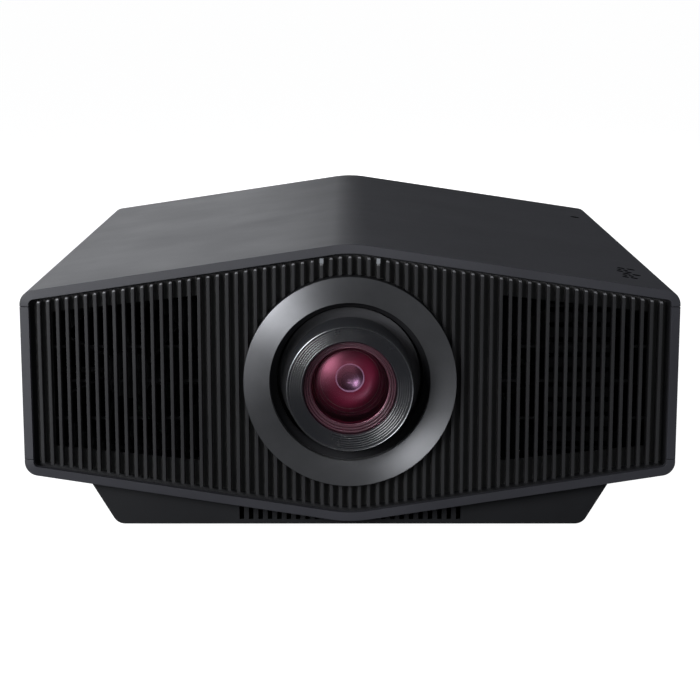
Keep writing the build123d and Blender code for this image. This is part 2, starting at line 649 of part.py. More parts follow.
def drive_motor(angle, ring_y, side):
    """Small motor with its shaft through the pinion, held by a clamp and an arm round the lens tube.
    side is -1 for a motor in front of its ring and 1 for one behind."""
    x, z = pinion_place(angle)
    near_y = ring_y - 1 if side < 0 else ring_y + RING_WIDTH + 1
    far_y = near_y + side * MOTOR_LENGTH
    low_y, high_y = sorted((near_y, far_y))
    motor = bar_y(MOTOR_R, low_y, high_y, x, z)
    shaft = bar_y(PINION_BORE_R, min(ring_y, near_y), max(ring_y + RING_WIDTH, near_y), x, z)
    arm_y0, arm_y1 = sorted((far_y, far_y - side * 3))
    clamp = bar_y(TUBE_R + 3, arm_y0, arm_y1, 0, 0)
    arm = Rot(0, -angle, 0) * block(TUBE_R, PINION_DISTANCE, arm_y0, arm_y1, -MOTOR_R, MOTOR_R)
    bracket = clamp + arm - bar_y(TUBE_R + 0.02, arm_y0 - 1, arm_y1 + 1, 0, 0)
    return joined((motor, shaft, Pos(0, 0, LENS_Z) * bracket))


def lens_drive_motors():
    zoom_motor = drive_motor(ZOOM_PINION_ANGLE, ZOOM_RING_Y, -1)
    focus_motor = drive_motor(FOCUS_PINION_ANGLE, FOCUS_RING_Y, 1)
    return group((zoom_motor, focus_motor))


def lens_group(y0, width):
    """A cell with its glass, sliding inside the lens tube."""
    y1 = y0 + width
    outer_r = GROUP_BORE_R - RUNNING_GAP
    seat_r = GROUP_GLASS_R - 3
    glass_r = seat_r + 0.5
    mid_r = GROUP_GLASS_R / 2
    cell = turned_y((GROUP_GLASS_R, y0), (outer_r, y0), (outer_r, y1), (GROUP_GLASS_R, y1),
                    (GROUP_GLASS_R, y1 - 3), (seat_r, y1 - 3), (seat_r, y0 + 3), (GROUP_GLASS_R, y0 + 3))
    glass = turned_y((0, y0 + 2), (mid_r, y0 + 2.5), (glass_r, y0 + 4), (glass_r, y1 - 4), (mid_r, y1 - 2.5),
                     (0, y1 - 2))
    return cell + glass


# ---- light engine ----
TRAY_Z0 = 38.5
TRAY_Z1 = 40.5
BENCH_Z0 = 66.0
BENCH_Z1 = 72.0
TRAY_HALF_WIDTH = 150.0
TRAY_REAR_GAP = 60.0
TRAY_FOLD_HEIGHT = 10.0
TRAY_HOLE_R = 8.0
TRAY_HOLE_X = (-60.0, -20.0, 20.0, 60.0)
TRAY_HOLE_Y = (60.0, 100.0, 140.0, 180.0)
BENCH_X = (-70.0, 140.0)
BENCH_Y0 = TUBE_END_Y + 6.0
BENCH_LENGTH = 190.0
BENCH_LEG_R = 6.0
BENCH_LEG_INSET = 8.0
BENCH_RIB_HEIGHT = 14.0
PRISM_Y0 = TUBE_END_Y + 12.0
PRISM_HALF = 16.0
LASER_X = (100.0, 136.0)
LASER_Y0 = TUBE_END_Y + 128.0
LASER_LENGTH = 60.0
LASER_HEIGHT = 62.0
DIODE_ROWS = 4
DIODE_PITCH = 14.0
DIODE_R = 4.5
FIN_COUNT = 12
FIN_PITCH = 6.0
FIN_THICKNESS = 1.6
FIN_DEPTH = 56.0
SINK_PLATE = 6.0


def chassis_tray():
    """Sheet steel tray, folded up at its sides, on the keel's slopes."""
    y0 = MOUNT_Y + MOUNT_THICKNESS + FIT_GAP
    y1 = REAR_Y - TRAY_REAR_GAP
    thickness = TRAY_Z1 - TRAY_Z0
    tray = block(-TRAY_HALF_WIDTH, TRAY_HALF_WIDTH, y0, y1, TRAY_Z0, TRAY_Z1)
    for side in (-1, 1):
        low, high = sorted((side * (TRAY_HALF_WIDTH - thickness), side * TRAY_HALF_WIDTH))
        tray += block(low, high, y0, y1, TRAY_Z0, TRAY_Z1 + TRAY_FOLD_HEIGHT)
    for x in TRAY_HOLE_X:
        for y in TRAY_HOLE_Y:
            tray -= bar_z(TRAY_HOLE_R, TRAY_Z0 - 1, TRAY_Z1 + 1, x, y)
    return tray


def optical_bench():
    """Cast bench on four legs."""
    y1 = BENCH_Y0 + BENCH_LENGTH
    bench = block(*BENCH_X, BENCH_Y0, y1, BENCH_Z0, BENCH_Z1)
    for x in (BENCH_X[0] + BENCH_LEG_INSET, BENCH_X[1] - BENCH_LEG_INSET):
        for y in (BENCH_Y0 + BENCH_LEG_INSET, y1 - BENCH_LEG_INSET):
            bench += bar_z(BENCH_LEG_R, TRAY_Z1, BENCH_Z0, x, y)
    for y in (BENCH_Y0 + 50, BENCH_Y0 + 110):
        bench += block(*BENCH_X, y, y + 3, BENCH_Z1, BENCH_Z1 + BENCH_RIB_HEIGHT)
    return bench


def prism_block():
    """Colour-combining prism cube and its three display panels with their heat spreaders."""
    y0 = PRISM_Y0
    y1 = y0 + 2 * PRISM_HALF
    panel_half = PRISM_HALF - 2
    near = PRISM_HALF + 1
    far = near + 5
    panel_z = (LENS_Z - panel_half, LENS_Z + panel_half)
    cube = block(-PRISM_HALF, PRISM_HALF, y0, y1, LENS_Z - PRISM_HALF, LENS_Z + PRISM_HALF)
    seat = block(-PRISM_HALF - 4, PRISM_HALF + 4, y0 - 2, y1 + 2, BENCH_Z1, LENS_Z - PRISM_HALF)
    left_panel = block(-far, -near, y0 + 2, y1 - 2, *panel_z)
    right_panel = block(near, far, y0 + 2, y1 - 2, *panel_z)
    rear_panel_piece = block(-panel_half, panel_half, y1 + 1, y1 + 6, *panel_z)
    return group((cube, seat, left_panel, right_panel, rear_panel_piece))


def laser_module():
    """Bank of blue laser diodes in a copper block, shining along -X."""
    face_x = LASER_X[0]
    module = block(*LASER_X, LASER_Y0, LASER_Y0 + LASER_LENGTH, BENCH_Z1, BENCH_Z1 + LASER_HEIGHT)
    for row in range(DIODE_ROWS):
        for column in range(DIODE_ROWS):
            y = LASER_Y0 + 9 + column * DIODE_PITCH
            z = BENCH_Z1 + 10 + row * DIODE_PITCH
            module += bar_x(DIODE_R, face_x - 4, face_x + 1, y, z)
    return module


def laser_heat_sink():
    """Finned aluminium heat sink bolted to the laser block."""
    y0 = LASER_Y0 - 4
    y1 = LASER_Y0 + LASER_LENGTH + 4
    x0 = LASER_X[1]
    fin_x = x0 + SINK_PLATE
    top_z = BENCH_Z1 + LASER_HEIGHT + 4
    sink = block(x0, fin_x, y0, y1, BENCH_Z1, top_z)
    for i in range(FIN_COUNT):
        y = y0 + i * FIN_PITCH
        sink += block(fin_x, fin_x + FIN_DEPTH, y, y + FIN_THICKNESS, BENCH_Z1, top_z)
    return sink


WHEEL_X = 40.0
WHEEL_Y = TUBE_END_Y + 156
WHEEL_Z = LENS_Z + 4
WHEEL_R = 32.0
WHEEL_THICKNESS = 1.5
WHEEL_HUB_R = 9.0
WHEEL_SHAFT_R = 3.0
WHEEL_MOTOR_R = 14.0


def phosphor_motor():
    """Motor on a post that rises from the bench."""
    motor = bar_x(WHEEL_MOTOR_R, WHEEL_X + 6, WHEEL_X + 24, WHEEL_Y, WHEEL_Z)
    motor += bar_x(WHEEL_SHAFT_R, WHEEL_X - 4, WHEEL_X + 8, WHEEL_Y, WHEEL_Z)
    return motor + block(WHEEL_X + 8, WHEEL_X + 22, WHEEL_Y - 8, WHEEL_Y + 8, BENCH_Z1, WHEEL_Z)


def phosphor_wheel():
    disc = bar_x(WHEEL_R, WHEEL_X, WHEEL_X + WHEEL_THICKNESS, WHEEL_Y, WHEEL_Z)
    hub = bar_x(WHEEL_HUB_R, WHEEL_X - 2, WHEEL_X + 5, WHEEL_Y, WHEEL_Z)
    bore = bar_x(WHEEL_SHAFT_R + RUNNING_GAP, WHEEL_X - 5, WHEEL_X + 9, WHEEL_Y, WHEEL_Z)
    return disc + hub - bore


# ---- fans, power and electronics ----
FAN_X = 159.0
FAN_Z = 113.0
FAN_HALF = 55.0
FAN_Y0 = FRONT_Y + 28.0
FAN_Y1 = FAN_Y0 + 25.0
FAN_BLADES = 7
FAN_SHAFT_R = 2.0
FAN_BORE_R = 52.0
FAN_HUB_R = 17.0
SPOKE_WIDTH = 4.0
BLADE_LENGTH = 34.0
BLADE_CHORD = 22.0
BLADE_THICKNESS = 1.6
BLADE_PITCH = 38.0


def fan_frame(side):
    x = side * FAN_X
    frame = block(x - FAN_HALF, x + FAN_HALF, FAN_Y0, FAN_Y1, FAN_Z - FAN_HALF, FAN_Z + FAN_HALF)
    frame -= bar_y(FAN_BORE_R, FAN_Y0 - 1, FAN_Y1 + 1, x, FAN_Z)
    spoke_y = FAN_Y1 - SPOKE_WIDTH
    reach = FAN_BORE_R + 1
    half = SPOKE_WIDTH / 2
    hub = bar_y(FAN_HUB_R - 1, spoke_y, FAN_Y1, x, FAN_Z)
    spoke = block(x - reach, x + reach, spoke_y, FAN_Y1, FAN_Z - half, FAN_Z + half)
    post = block(x - half, x + half, spoke_y, FAN_Y1, FAN_Z - reach, FAN_Z + reach)
    shaft = bar_y(FAN_SHAFT_R, FAN_Y0 + 6, FAN_Y1 - 3, x, FAN_Z)
    return joined((frame, hub, spoke, post, shaft))


def fan_rotor(side):
    x = side * FAN_X
    y0 = FAN_Y0 + 2
    y1 = FAN_Y1 - 6
    rotor = bar_y(FAN_HUB_R, y0, y1, 0, 0)
    blade_x = FAN_HUB_R - 1 + BLADE_LENGTH / 2
    for i in range(FAN_BLADES):
        flat_blade = Box(BLADE_LENGTH, BLADE_CHORD, BLADE_THICKNESS)
        blade = Pos(blade_x, (y0 + y1) / 2, 0) * Rot(BLADE_PITCH, 0, 0) * flat_blade
        blade &= block(0, BEYOND, y0, y1, -BEYOND, BEYOND)
        rotor += Rot(0, i * 360 / FAN_BLADES, 0) * blade
    rotor -= bar_y(FAN_SHAFT_R + RUNNING_GAP, y0 + 3, y1 + 1, 0, 0)
    return Pos(x, 0, FAN_Z) * rotor


SUPPLY_Y0 = FRONT_Y + 110.0
SUPPLY_LENGTH = 220.0
SUPPLY_X = (-206.0, -122.0)
SUPPLY_BOARD_Z = (62.0, 64.0)
SUPPLY_RAIL_X = (-146.0, -126.0)
SUPPLY_RAIL_WIDTH = 4.0
CAPACITOR_COUNT = 3


def power_supply():
    """Supply board with its transformer, choke and capacitors, on two rails."""
    y0 = SUPPLY_Y0
    y1 = y0 + SUPPLY_LENGTH
    board_low_z, board_z = SUPPLY_BOARD_Z
    supply = block(*SUPPLY_X, y0, y1, board_low_z, board_z)
    for x in SUPPLY_RAIL_X:
        supply += block(x, x + SUPPLY_RAIL_WIDTH, y0, y1, TRAY_Z1, board_low_z)
    transformer = block(-196, -156, y0 + 20, y0 + 62, board_z, board_z + 40)
    heat_sink = block(-146, -128, y0 + 16, y0 + 90, board_z, board_z + 52)
    choke = block(-196, -160, y0 + 80, y0 + 106, board_z, board_z + 26)
    supply += transformer + heat_sink + choke
    for i in range(CAPACITOR_COUNT):
        supply += bar_z(13.0, board_z, board_z + 44, -180, y0 + 126 + i * 30)
        supply += bar_z(8.0, board_z, board_z + 30, -142, y0 + 116 + i * 24)
    return supply


BAY_HALF = 78.0
BAY_Z0 = 46.0
BAY_Z1 = 158.0
BAY_WALL = 2.5
REAR_PLATE_Y = REAR_Y - 4.0
BAY_FLOOR_Y = REAR_Y - 16.0
BOARD_Y = BAY_FLOOR_Y - 14.0
BOARD_THICKNESS = 1.6
BOARD_HALF_WIDTH = 90.0
BOARD_Z = (46.0, 164.0)
COOLER_HALF_WIDTH = 20.0
COOLER_Z = (90.0, 130.0)
COOLER_FIN_COUNT = 6
COOLER_FIN_PITCH = 7.0
CHIP_X = (-70.0, -50.0, 44.0, 64.0)
CHIP_Z = (96.0, 110.0)


def main_board():
    """Processing board that stands behind the connector plate, with a finned chip cooler."""
    face_y = BOARD_Y - BOARD_THICKNESS
    fin_y = BOARD_Y - 14
    board = block(-BOARD_HALF_WIDTH, BOARD_HALF_WIDTH, face_y, BOARD_Y, *BOARD_Z)
    board += block(-COOLER_HALF_WIDTH, COOLER_HALF_WIDTH, fin_y, face_y, *COOLER_Z)
    for i in range(COOLER_FIN_COUNT):
        x = -COOLER_HALF_WIDTH + 2 + i * COOLER_FIN_PITCH
        board += block(x, x + FIN_THICKNESS, fin_y - 12, fin_y, *COOLER_Z)
    for x in CHIP_X:
        board += block(x, x + 12, face_y - 2.4, face_y, *CHIP_Z)
    return board


# ---- rear panel and its sockets ----
REAR_WINDOW_X0 = 100.0
REAR_WINDOW_X1 = 208.0
REAR_WINDOW_LOW_Z = (56.0, 66.0)         # at the inner and the outer edge
REAR_WINDOW_TOP_Z = (172.0, 160.0)
REAR_PANEL_THICKNESS = 2.5
REAR_BAR_Z = (90.0, 113.0, 136.0)
REAR_BAR_HEIGHT = 3.0
FIRST_REAR_SLAT_X = BAY_HALF + 14.0
FILTER_X = (97.0, 212.0)
FILTER_Z = (54.0, 173.0)
FILTER_DEPTH = 12.0
PLEAT_COUNT = 14
PLEAT_PITCH = 8.0
PLEAT_WIDTH = 4.0


def rear_window(side):
    return polygon(
        (side * REAR_WINDOW_X0, REAR_WINDOW_LOW_Z[0]), (side * REAR_WINDOW_X1, REAR_WINDOW_LOW_Z[1]),
        (side * REAR_WINDOW_X1, REAR_WINDOW_TOP_Z[1]), (side * REAR_WINDOW_X0, REAR_WINDOW_TOP_Z[0]),
    )


def rear_panel():
    y0 = REAR_PLATE_Y - REAR_PANEL_THICKNESS
    panel = prism(outline(WALL + FIT_GAP), y0, REAR_PLATE_Y)
    for side in (-1, 1):
        panel -= prism(rear_window(side), y0 - 1, REAR_PLATE_Y + 1)
    bay_half = BAY_HALF + BAY_WALL
    panel += block(-bay_half, bay_half, BAY_FLOOR_Y, y0 + 1, BAY_Z0 - BAY_WALL, BAY_Z1 + BAY_WALL)
    panel -= block(-BAY_HALF, BAY_HALF, BAY_FLOOR_Y - 1, REAR_Y, BAY_Z0, BAY_Z1)
    room = prism(outline(REAR_RIM_WIDTH + SLAT_END_GAP), REAR_PLATE_Y, REAR_Y - 1)
    pieces = [panel]
    first = math.ceil(FIRST_REAR_SLAT_X / SLAT_PITCH)
    for i in range(first, SLAT_COUNT // 2 + 1):
        for side in (-1, 1):
            x = side * i * SLAT_PITCH
            slat = room & block(x - SLAT_WIDTH / 2, x + SLAT_WIDTH / 2, REAR_PLATE_Y, REAR_Y - 1, 0, BEYOND)
            pieces.append(slat)
    half_bar = REAR_BAR_HEIGHT / 2
    for side in (-1, 1):
        for z in REAR_BAR_Z:
            low, high = sorted((side * (REAR_WINDOW_X0 - 1), side * (REAR_WINDOW_X1 + 1)))
            pieces.append(block(low, high, y0, REAR_PLATE_Y, z - half_bar, z + half_bar))
    return joined(pieces)


def air_filters():
    """A pleated pad in a frame behind each rear window."""
    y1 = REAR_PLATE_Y - 3
    z0, z1 = FILTER_Z
    half_pleat = PLEAT_WIDTH / 2
    pads = []
    for side in (-1, 1):
        low, high = sorted((side * FILTER_X[0], side * FILTER_X[1]))
        pad = block(low, high, y1 - FILTER_DEPTH, y1, z0, z1)
        for i in range(PLEAT_COUNT):
            x = side * (FILTER_X[0] + 6 + i * PLEAT_PITCH)
            pad -= block(x - half_pleat, x + half_pleat, y1 - 4, y1 + 1, z0 + 4, z1 - 4)
        pads.append(pad)
    return group(pads)


PLATE_REAR_Y = BAY_FLOOR_Y           # connector plate's rear face, where sockets stand out
PLATE_FRONT_Y = BAY_FLOOR_Y - 1.2
HDMI_PLACES = ((-46.0, 132.0), (-46.0, 114.0))
LAN_PLACE = (-8.0, 128.0)
USB_PLACE = (18.0, 130.0)
SERIAL_PLACE = (52.0, 128.0)
JACK_PLACES = ((-54.0, 92.0), (-40.0, 92.0), (-26.0, 92.0))
INLET_PLACE = (44.0, 76.0)
SOCKET_PROUD = 1.0


def socket(place, width, height, depth, wall, tongue=None):
    """An open metal shell facing the rear, with an optional tongue set back from its mouth."""
    x, z = place
    y1 = PLATE_REAR_Y + SOCKET_PROUD
    shell = block(x - width / 2, x + width / 2, y1 - depth, y1, z - height / 2, z + height / 2)
    shell -= block(
        x - width / 2 + wall, x + width / 2 - wall, y1 - depth + 1.5, y1 + 1,
        z - height / 2 + wall, z + height / 2 - wall,
    )
    if tongue:
        tongue_width, tongue_height, setback = tongue
        shell += block(x - tongue_width / 2, x + tongue_width / 2, y1 - depth + 1, y1 - setback,
                       z - tongue_height / 2, z + tongue_height / 2)
    return shell


def hdmi_ports():
    return group(socket(place, 15.4, 6.0, 12.0, 0.6, (11.0, 1.8, 5.0)) for place in HDMI_PLACES)


def lan_port():
    return socket(LAN_PLACE, 16.0, 13.6, 14.0, 1.6)


def usb_port():
    return socket(USB_PLACE, 13.8, 6.4, 13.0, 0.6, (11.0, 1.8, 5.0))


def serial_port():
    """Nine-hole D-shaped socket with its two hex posts."""
    x, z = SERIAL_PLACE
    y0 = PLATE_FRONT_Y - 8
    y1 = PLATE_REAR_Y + 5
    face = polygon((-9.2, 4.2), (9.2, 4.2), (7.6, -4.2), (-7.6, -4.2))
    face = fillet(face.vertices(), 1.5)
    shell = prism(Pos(x, z) * face, y0, y1)
    for i in range(5):
        shell -= bar_y(0.6, y1 - 4, y1 + 1, x + (i - 2) * 2.8, z + 1.4)
    for i in range(4):
        shell -= bar_y(0.6, y1 - 4, y1 + 1, x + (i - 1.5) * 2.8, z - 1.4)
    shell += block(x - 15.5, x + 15.5, PLATE_REAR_Y, PLATE_REAR_Y + 0.8, z - 6.2, z + 6.2)
    for side in (-1, 1):
        post = prism(Pos(x + side * 12.5, z) * RegularPolygon(2.6, 6), PLATE_REAR_Y, PLATE_REAR_Y + 5)
        shell += post - bar_y(1.2, PLATE_REAR_Y + 1, PLATE_REAR_Y + 6, x + side * 12.5, z)
    return shell


def jack_sockets():
    """Three 3.5 mm jacks with their ring nuts."""
    jacks = []
    for x, z in JACK_PLACES:
        jack = bar_y(3.0, PLATE_FRONT_Y - 10, PLATE_REAR_Y + 1.6, x, z)
        jack += bar_y(4.2, PLATE_REAR_Y, PLATE_REAR_Y + 1.2, x, z)
        jack -= bar_y(1.8, PLATE_FRONT_Y - 8, PLATE_REAR_Y + 2, x, z)
        jacks.append(jack)
    return group(jacks)


INLET_HALF_WIDTH = 12.0
INLET_HALF_HEIGHT = 8.0
INLET_CORNER = 4.0
INLET_PINS = ((-7.0, -2.0), (0.0, 2.0), (7.0, -2.0))
INLET_SCREW_X = 20.0
INLET_SCREW_R = 1.7


def ac_inlet():
    """Three-pin mains inlet with a flange and two screw ears."""
    x, z = INLET_PLACE
    y1 = PLATE_REAR_Y + 3.0
    y0 = y1 - 13.0
    body = block(x - 14, x + 14, y0, y1, z - 10, z + 10)
    body += block(x - 25, x + 25, PLATE_REAR_Y, y1, z - 11, z + 11)
    half_width = INLET_HALF_WIDTH
    top = INLET_HALF_HEIGHT
    chamfered = polygon(
        (-half_width, top - INLET_CORNER), (-half_width + INLET_CORNER, top),
        (half_width - INLET_CORNER, top), (half_width, top - INLET_CORNER),
        (half_width, -top), (-half_width, -top),
    )
    body -= prism(Pos(x, z) * chamfered, y0 + 1.5, y1 + 1)
    for pin_x, pin_z in INLET_PINS:
        body += block(x + pin_x - 1, x + pin_x + 1, y0 + 1, y1 - 5.5, z + pin_z - 2, z + pin_z + 2)
    for side in (-1, 1):
        body -= bar_y(INLET_SCREW_R, PLATE_REAR_Y - 1, y1 + 1, x + side * INLET_SCREW_X, z)
    return body


def connector_plate():
    """Sheet steel floor of the bay, with a hole for each socket."""
    bay_half = BAY_HALF + BAY_WALL
    plate = block(-bay_half, bay_half, PLATE_FRONT_Y, PLATE_REAR_Y, BAY_Z0 - BAY_WALL, BAY_Z1 + BAY_WALL)
    holes = [(place, 15.8, 6.4) for place in HDMI_PLACES]
    holes += [(LAN_PLACE, 16.4, 14.0), (USB_PLACE, 14.2, 6.8)]
    holes += [(SERIAL_PLACE, 19.4, 9.4), (INLET_PLACE, 28.4, 20.4)]
    y0 = PLATE_FRONT_Y - 1
    y1 = PLATE_REAR_Y + 1
    for (x, z), width, height in holes:
        plate -= block(x - width / 2, x + width / 2, y0, y1, z - height / 2, z + height / 2)
    for x, z in JACK_PLACES:
        plate -= bar_y(3.1, y0, y1, x, z)
    return plate


# ---- control panel on the right side ----
PANEL_X0 = 226.0
PANEL_X1 = 227.5
BUTTON_FACE_X = 229.4
BUTTON_GAP = 0.25
POWER_PLACE = (CONTROL_Y0 + 12, 138.0)
INPUT_PLACE = (CONTROL_Y0 + 28, 138.0)
MENU_PLACE = (CONTROL_Y0 + 42, 138.0)
STICK_PLACE = (CONTROL_Y0 + 60, 138.0)
POWER_R = 5.0
SMALL_R = 3.8
STICK_HOLE_R = 9.0
STICK_CAP_R = 6.4
STICK_PIVOT_X = 222.0
STICK_PIN_R = 0.8
GIMBAL_PIN_R = 1.0
GIMBAL_R = 7.0
GIMBAL_BORE_R = 4.6
FLANGE_OVERLAP = 1.2
BUTTON_BOARD_X = (216.4, 218.0)
YOKE_X = (217.5, 225.0)
PANEL_OVERLAP = 3.0


def button(place, radius):
    """A cap that stands through the panel, with a flange behind it."""
    y, z = place
    cap = bar_x(radius, PANEL_X0 - 0.3, BUTTON_FACE_X, y, z)
    cap = chamfer(cap.edges().sort_by(Axis.X)[-1], 0.4)
    return cap + bar_x(radius + FLANGE_OVERLAP, PANEL_X0 - 1.4, PANEL_X0 - 0.3, y, z)


def control_panel():
    """Plate in the side panel's window, with the button board behind it on four posts."""
    y_span = (CONTROL_Y0 - PANEL_OVERLAP, CONTROL_Y1 + PANEL_OVERLAP)
    z_span = (CONTROL_Z0 - PANEL_OVERLAP, CONTROL_Z1 + PANEL_OVERLAP)
    plate = block(PANEL_X0, PANEL_X1, *y_span, *z_span)
    for place, radius in ((POWER_PLACE, POWER_R), (INPUT_PLACE, SMALL_R), (MENU_PLACE, SMALL_R)):
        plate -= bar_x(radius + BUTTON_GAP, PANEL_X0 - 1, PANEL_X1 + 1, *place)
    plate -= bar_x(STICK_HOLE_R, PANEL_X0 - 1, PANEL_X1 + 1, *STICK_PLACE)
    board = block(*BUTTON_BOARD_X, *y_span, *z_span)
    posts = []
    for y in (CONTROL_Y0, CONTROL_Y1):
        for z in (CONTROL_Z0, CONTROL_Z1):
            posts.append(bar_x(2.0, BUTTON_BOARD_X[1] - 0.5, PANEL_X0 + 0.5, y, z))
    yoke = []
    y, z = STICK_PLACE
    for side in (-1, 1):
        low, high = sorted((z + side * 7.3, z + side * 9.3))
        arm = block(*YOKE_X, y - 2.5, y + 2.5, low, high)
        yoke.append(arm - bar_z(GIMBAL_PIN_R + RUNNING_GAP, z - 10, z + 10, STICK_PIVOT_X, y))
    return joined([plate, board] + posts + yoke)


def joystick_gimbal():
    """Ring that turns on an upright pin in the yoke, and carries the cap's cross pin."""
    y, z = STICK_PLACE
    ring = bar_x(GIMBAL_R, STICK_PIVOT_X - 1.8, STICK_PIVOT_X + 1.8, y, z)
    ring -= bar_x(GIMBAL_BORE_R, STICK_PIVOT_X - 3, STICK_PIVOT_X + 3, y, z)
    for side in (-1, 1):
        low, high = sorted((z + side * 6.5, z + side * 9.2))
        ring += bar_z(GIMBAL_PIN_R, low, high, STICK_PIVOT_X, y)
    return ring - bar_y(STICK_PIN_R + RUNNING_GAP, y - 8, y + 8, STICK_PIVOT_X, z)


def joystick_cap():
    """Thumb cap on a stem, with a cross pin through the gimbal ring."""
    y, z = STICK_PLACE
    stem = bar_x(2.2, STICK_PIVOT_X - 2, PANEL_X1, y, z)
    cap = bar_x(STICK_CAP_R, PANEL_X1 - 0.7, BUTTON_FACE_X, y, z)
    cap = chamfer(cap.edges().sort_by(Axis.X)[-1], 0.8)
    pin = bar_y(STICK_PIN_R, y - 6.6, y + 6.6, STICK_PIVOT_X, z)
    return joined((stem, cap, pin))


# ---- every node ----
make_shells()
parts["base_plinth"] = base_plinth()
parts["rear_feet"] = rear_feet()
parts["housing_screws"] = housing_screws()
for side_name, side_sign in (("left", -1), ("right", 1)):
    parts["front_foot_pad_" + side_name] = foot_pad(side_sign)
    parts["front_foot_screw_" + side_name] = foot_screw(side_sign)
    parts["fan_rotor_" + side_name] = fan_rotor(side_sign)
parts["front_grille"] = front_grille()
parts["indicator_windows"] = indicator_windows()
parts["exhaust_mesh"] = exhaust_mesh()
parts["lens_ring"] = lens_ring()
parts["lens_recess_cup"] = lens_recess_cup()
parts["lens_barrel"] = lens_barrel()
parts["front_glass"] = front_glass()
parts["horizontal_carriage"] = horizontal_carriage()
parts["vertical_carriage"] = vertical_carriage()
parts["lens_mount_frame"] = lens_mount_frame()
parts["vertical_guide_rods"] = vertical_guide_rods()
parts["vertical_shift_motor"] = shift_motor_vertical()
parts["vertical_lead_screw"] = vertical_lead_screw()
parts["horizontal_shift_motor"] = shift_motor_horizontal()
parts["horizontal_lead_screw"] = horizontal_lead_screw()
parts["zoom_ring"] = drive_ring(ZOOM_RING_Y)
parts["focus_ring"] = drive_ring(FOCUS_RING_Y)
parts["zoom_pinion"] = drive_pinion(ZOOM_PINION_ANGLE, ZOOM_RING_Y)
parts["focus_pinion"] = drive_pinion(FOCUS_PINION_ANGLE, FOCUS_RING_Y)
parts["lens_drive_motors"] = lens_drive_motors()
parts["zoom_group"] = lens_group(ZOOM_GROUP_Y, ZOOM_GROUP_LENGTH)
parts["focus_group"] = lens_group(FOCUS_GROUP_Y, FOCUS_GROUP_LENGTH)
parts["chassis_tray"] = chassis_tray()
parts["optical_bench"] = optical_bench()
parts["prism_block"] = prism_block()
parts["laser_module"] = laser_module()
parts["laser_heat_sink"] = laser_heat_sink()
parts["phosphor_motor"] = phosphor_motor()
parts["phosphor_wheel"] = phosphor_wheel()
parts["fan_frames"] = group(fan_frame(side) for side in (-1, 1))
parts["power_supply"] = power_supply()
parts["main_board"] = main_board()
parts["rear_panel"] = rear_panel()
parts["air_filters"] = air_filters()
parts["connector_plate"] = connector_plate()
parts["hdmi_ports"] = hdmi_ports()
parts["lan_port"] = lan_port()
parts["usb_port"] = usb_port()
parts["serial_port"] = serial_port()
parts["jack_sockets"] = jack_sockets()
parts["ac_inlet"] = ac_inlet()
parts["control_panel"] = control_panel()
parts["power_button"] = button(POWER_PLACE, POWER_R)
parts["input_button"] = button(INPUT_PLACE, SMALL_R)
parts["menu_button"] = button(MENU_PLACE, SMALL_R)
parts["joystick_gimbal"] = joystick_gimbal()
parts["joystick_cap"] = joystick_cap()

os.makedirs("parts", exist_ok=True)
for node, shape in parts.items():
    export_step(shape, "parts/" + node + ".step")
print(len(parts), "nodes")
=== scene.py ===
import math
import bmesh
import bpy
from mathutils import Matrix, Vector


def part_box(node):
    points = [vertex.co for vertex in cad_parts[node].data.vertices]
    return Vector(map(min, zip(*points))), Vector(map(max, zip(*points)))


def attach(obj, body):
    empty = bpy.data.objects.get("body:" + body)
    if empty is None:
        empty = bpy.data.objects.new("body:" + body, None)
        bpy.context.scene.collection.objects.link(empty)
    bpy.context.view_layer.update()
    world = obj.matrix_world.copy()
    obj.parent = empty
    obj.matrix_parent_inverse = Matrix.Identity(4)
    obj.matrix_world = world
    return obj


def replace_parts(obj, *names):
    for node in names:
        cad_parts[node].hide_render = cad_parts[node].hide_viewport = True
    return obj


# A home projector round its CAD frame. Metres, +Z up, the lens looks along -Y.
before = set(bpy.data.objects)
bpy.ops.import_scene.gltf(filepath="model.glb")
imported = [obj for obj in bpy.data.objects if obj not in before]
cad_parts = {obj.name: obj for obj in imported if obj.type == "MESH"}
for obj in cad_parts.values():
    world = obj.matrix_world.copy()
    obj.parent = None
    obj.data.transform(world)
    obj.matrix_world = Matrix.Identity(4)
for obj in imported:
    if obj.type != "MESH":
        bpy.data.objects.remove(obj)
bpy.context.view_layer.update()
scene = bpy.context.scene
MM = 0.001

# ---- places taken from the frame ----
cover_low, cover_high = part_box("top_cover")
side_low, side_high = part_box("side_panel_left")
ring_low, ring_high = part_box("lens_ring")
barrel_low, barrel_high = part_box("lens_barrel")
bay_low, bay_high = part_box("connector_plate")
HALF_WIDTH = cover_high.x
FRONT_Y = cover_low.y
REAR_Y = cover_high.y
TOP_SEAM_Z = side_high.z
LOW_SEAM_Z = side_low.z
LENS_Z = (ring_low.z + ring_high.z) / 2
RING_FRONT_Y = ring_low.y
RING_OUTER_R = (ring_high.z - ring_low.z) / 2
BARREL_R = (barrel_high.z - barrel_low.z) / 2
BARREL_END_Y = barrel_high.y
RIM_Y = barrel_low.y  # the front edge of the barrel
PLATE_Y = ring_high.y  # the lens ring stands on the grille plate's face
FACE_GAP = 0.1 * MM  # so that faces of neighbouring pieces never share a plane

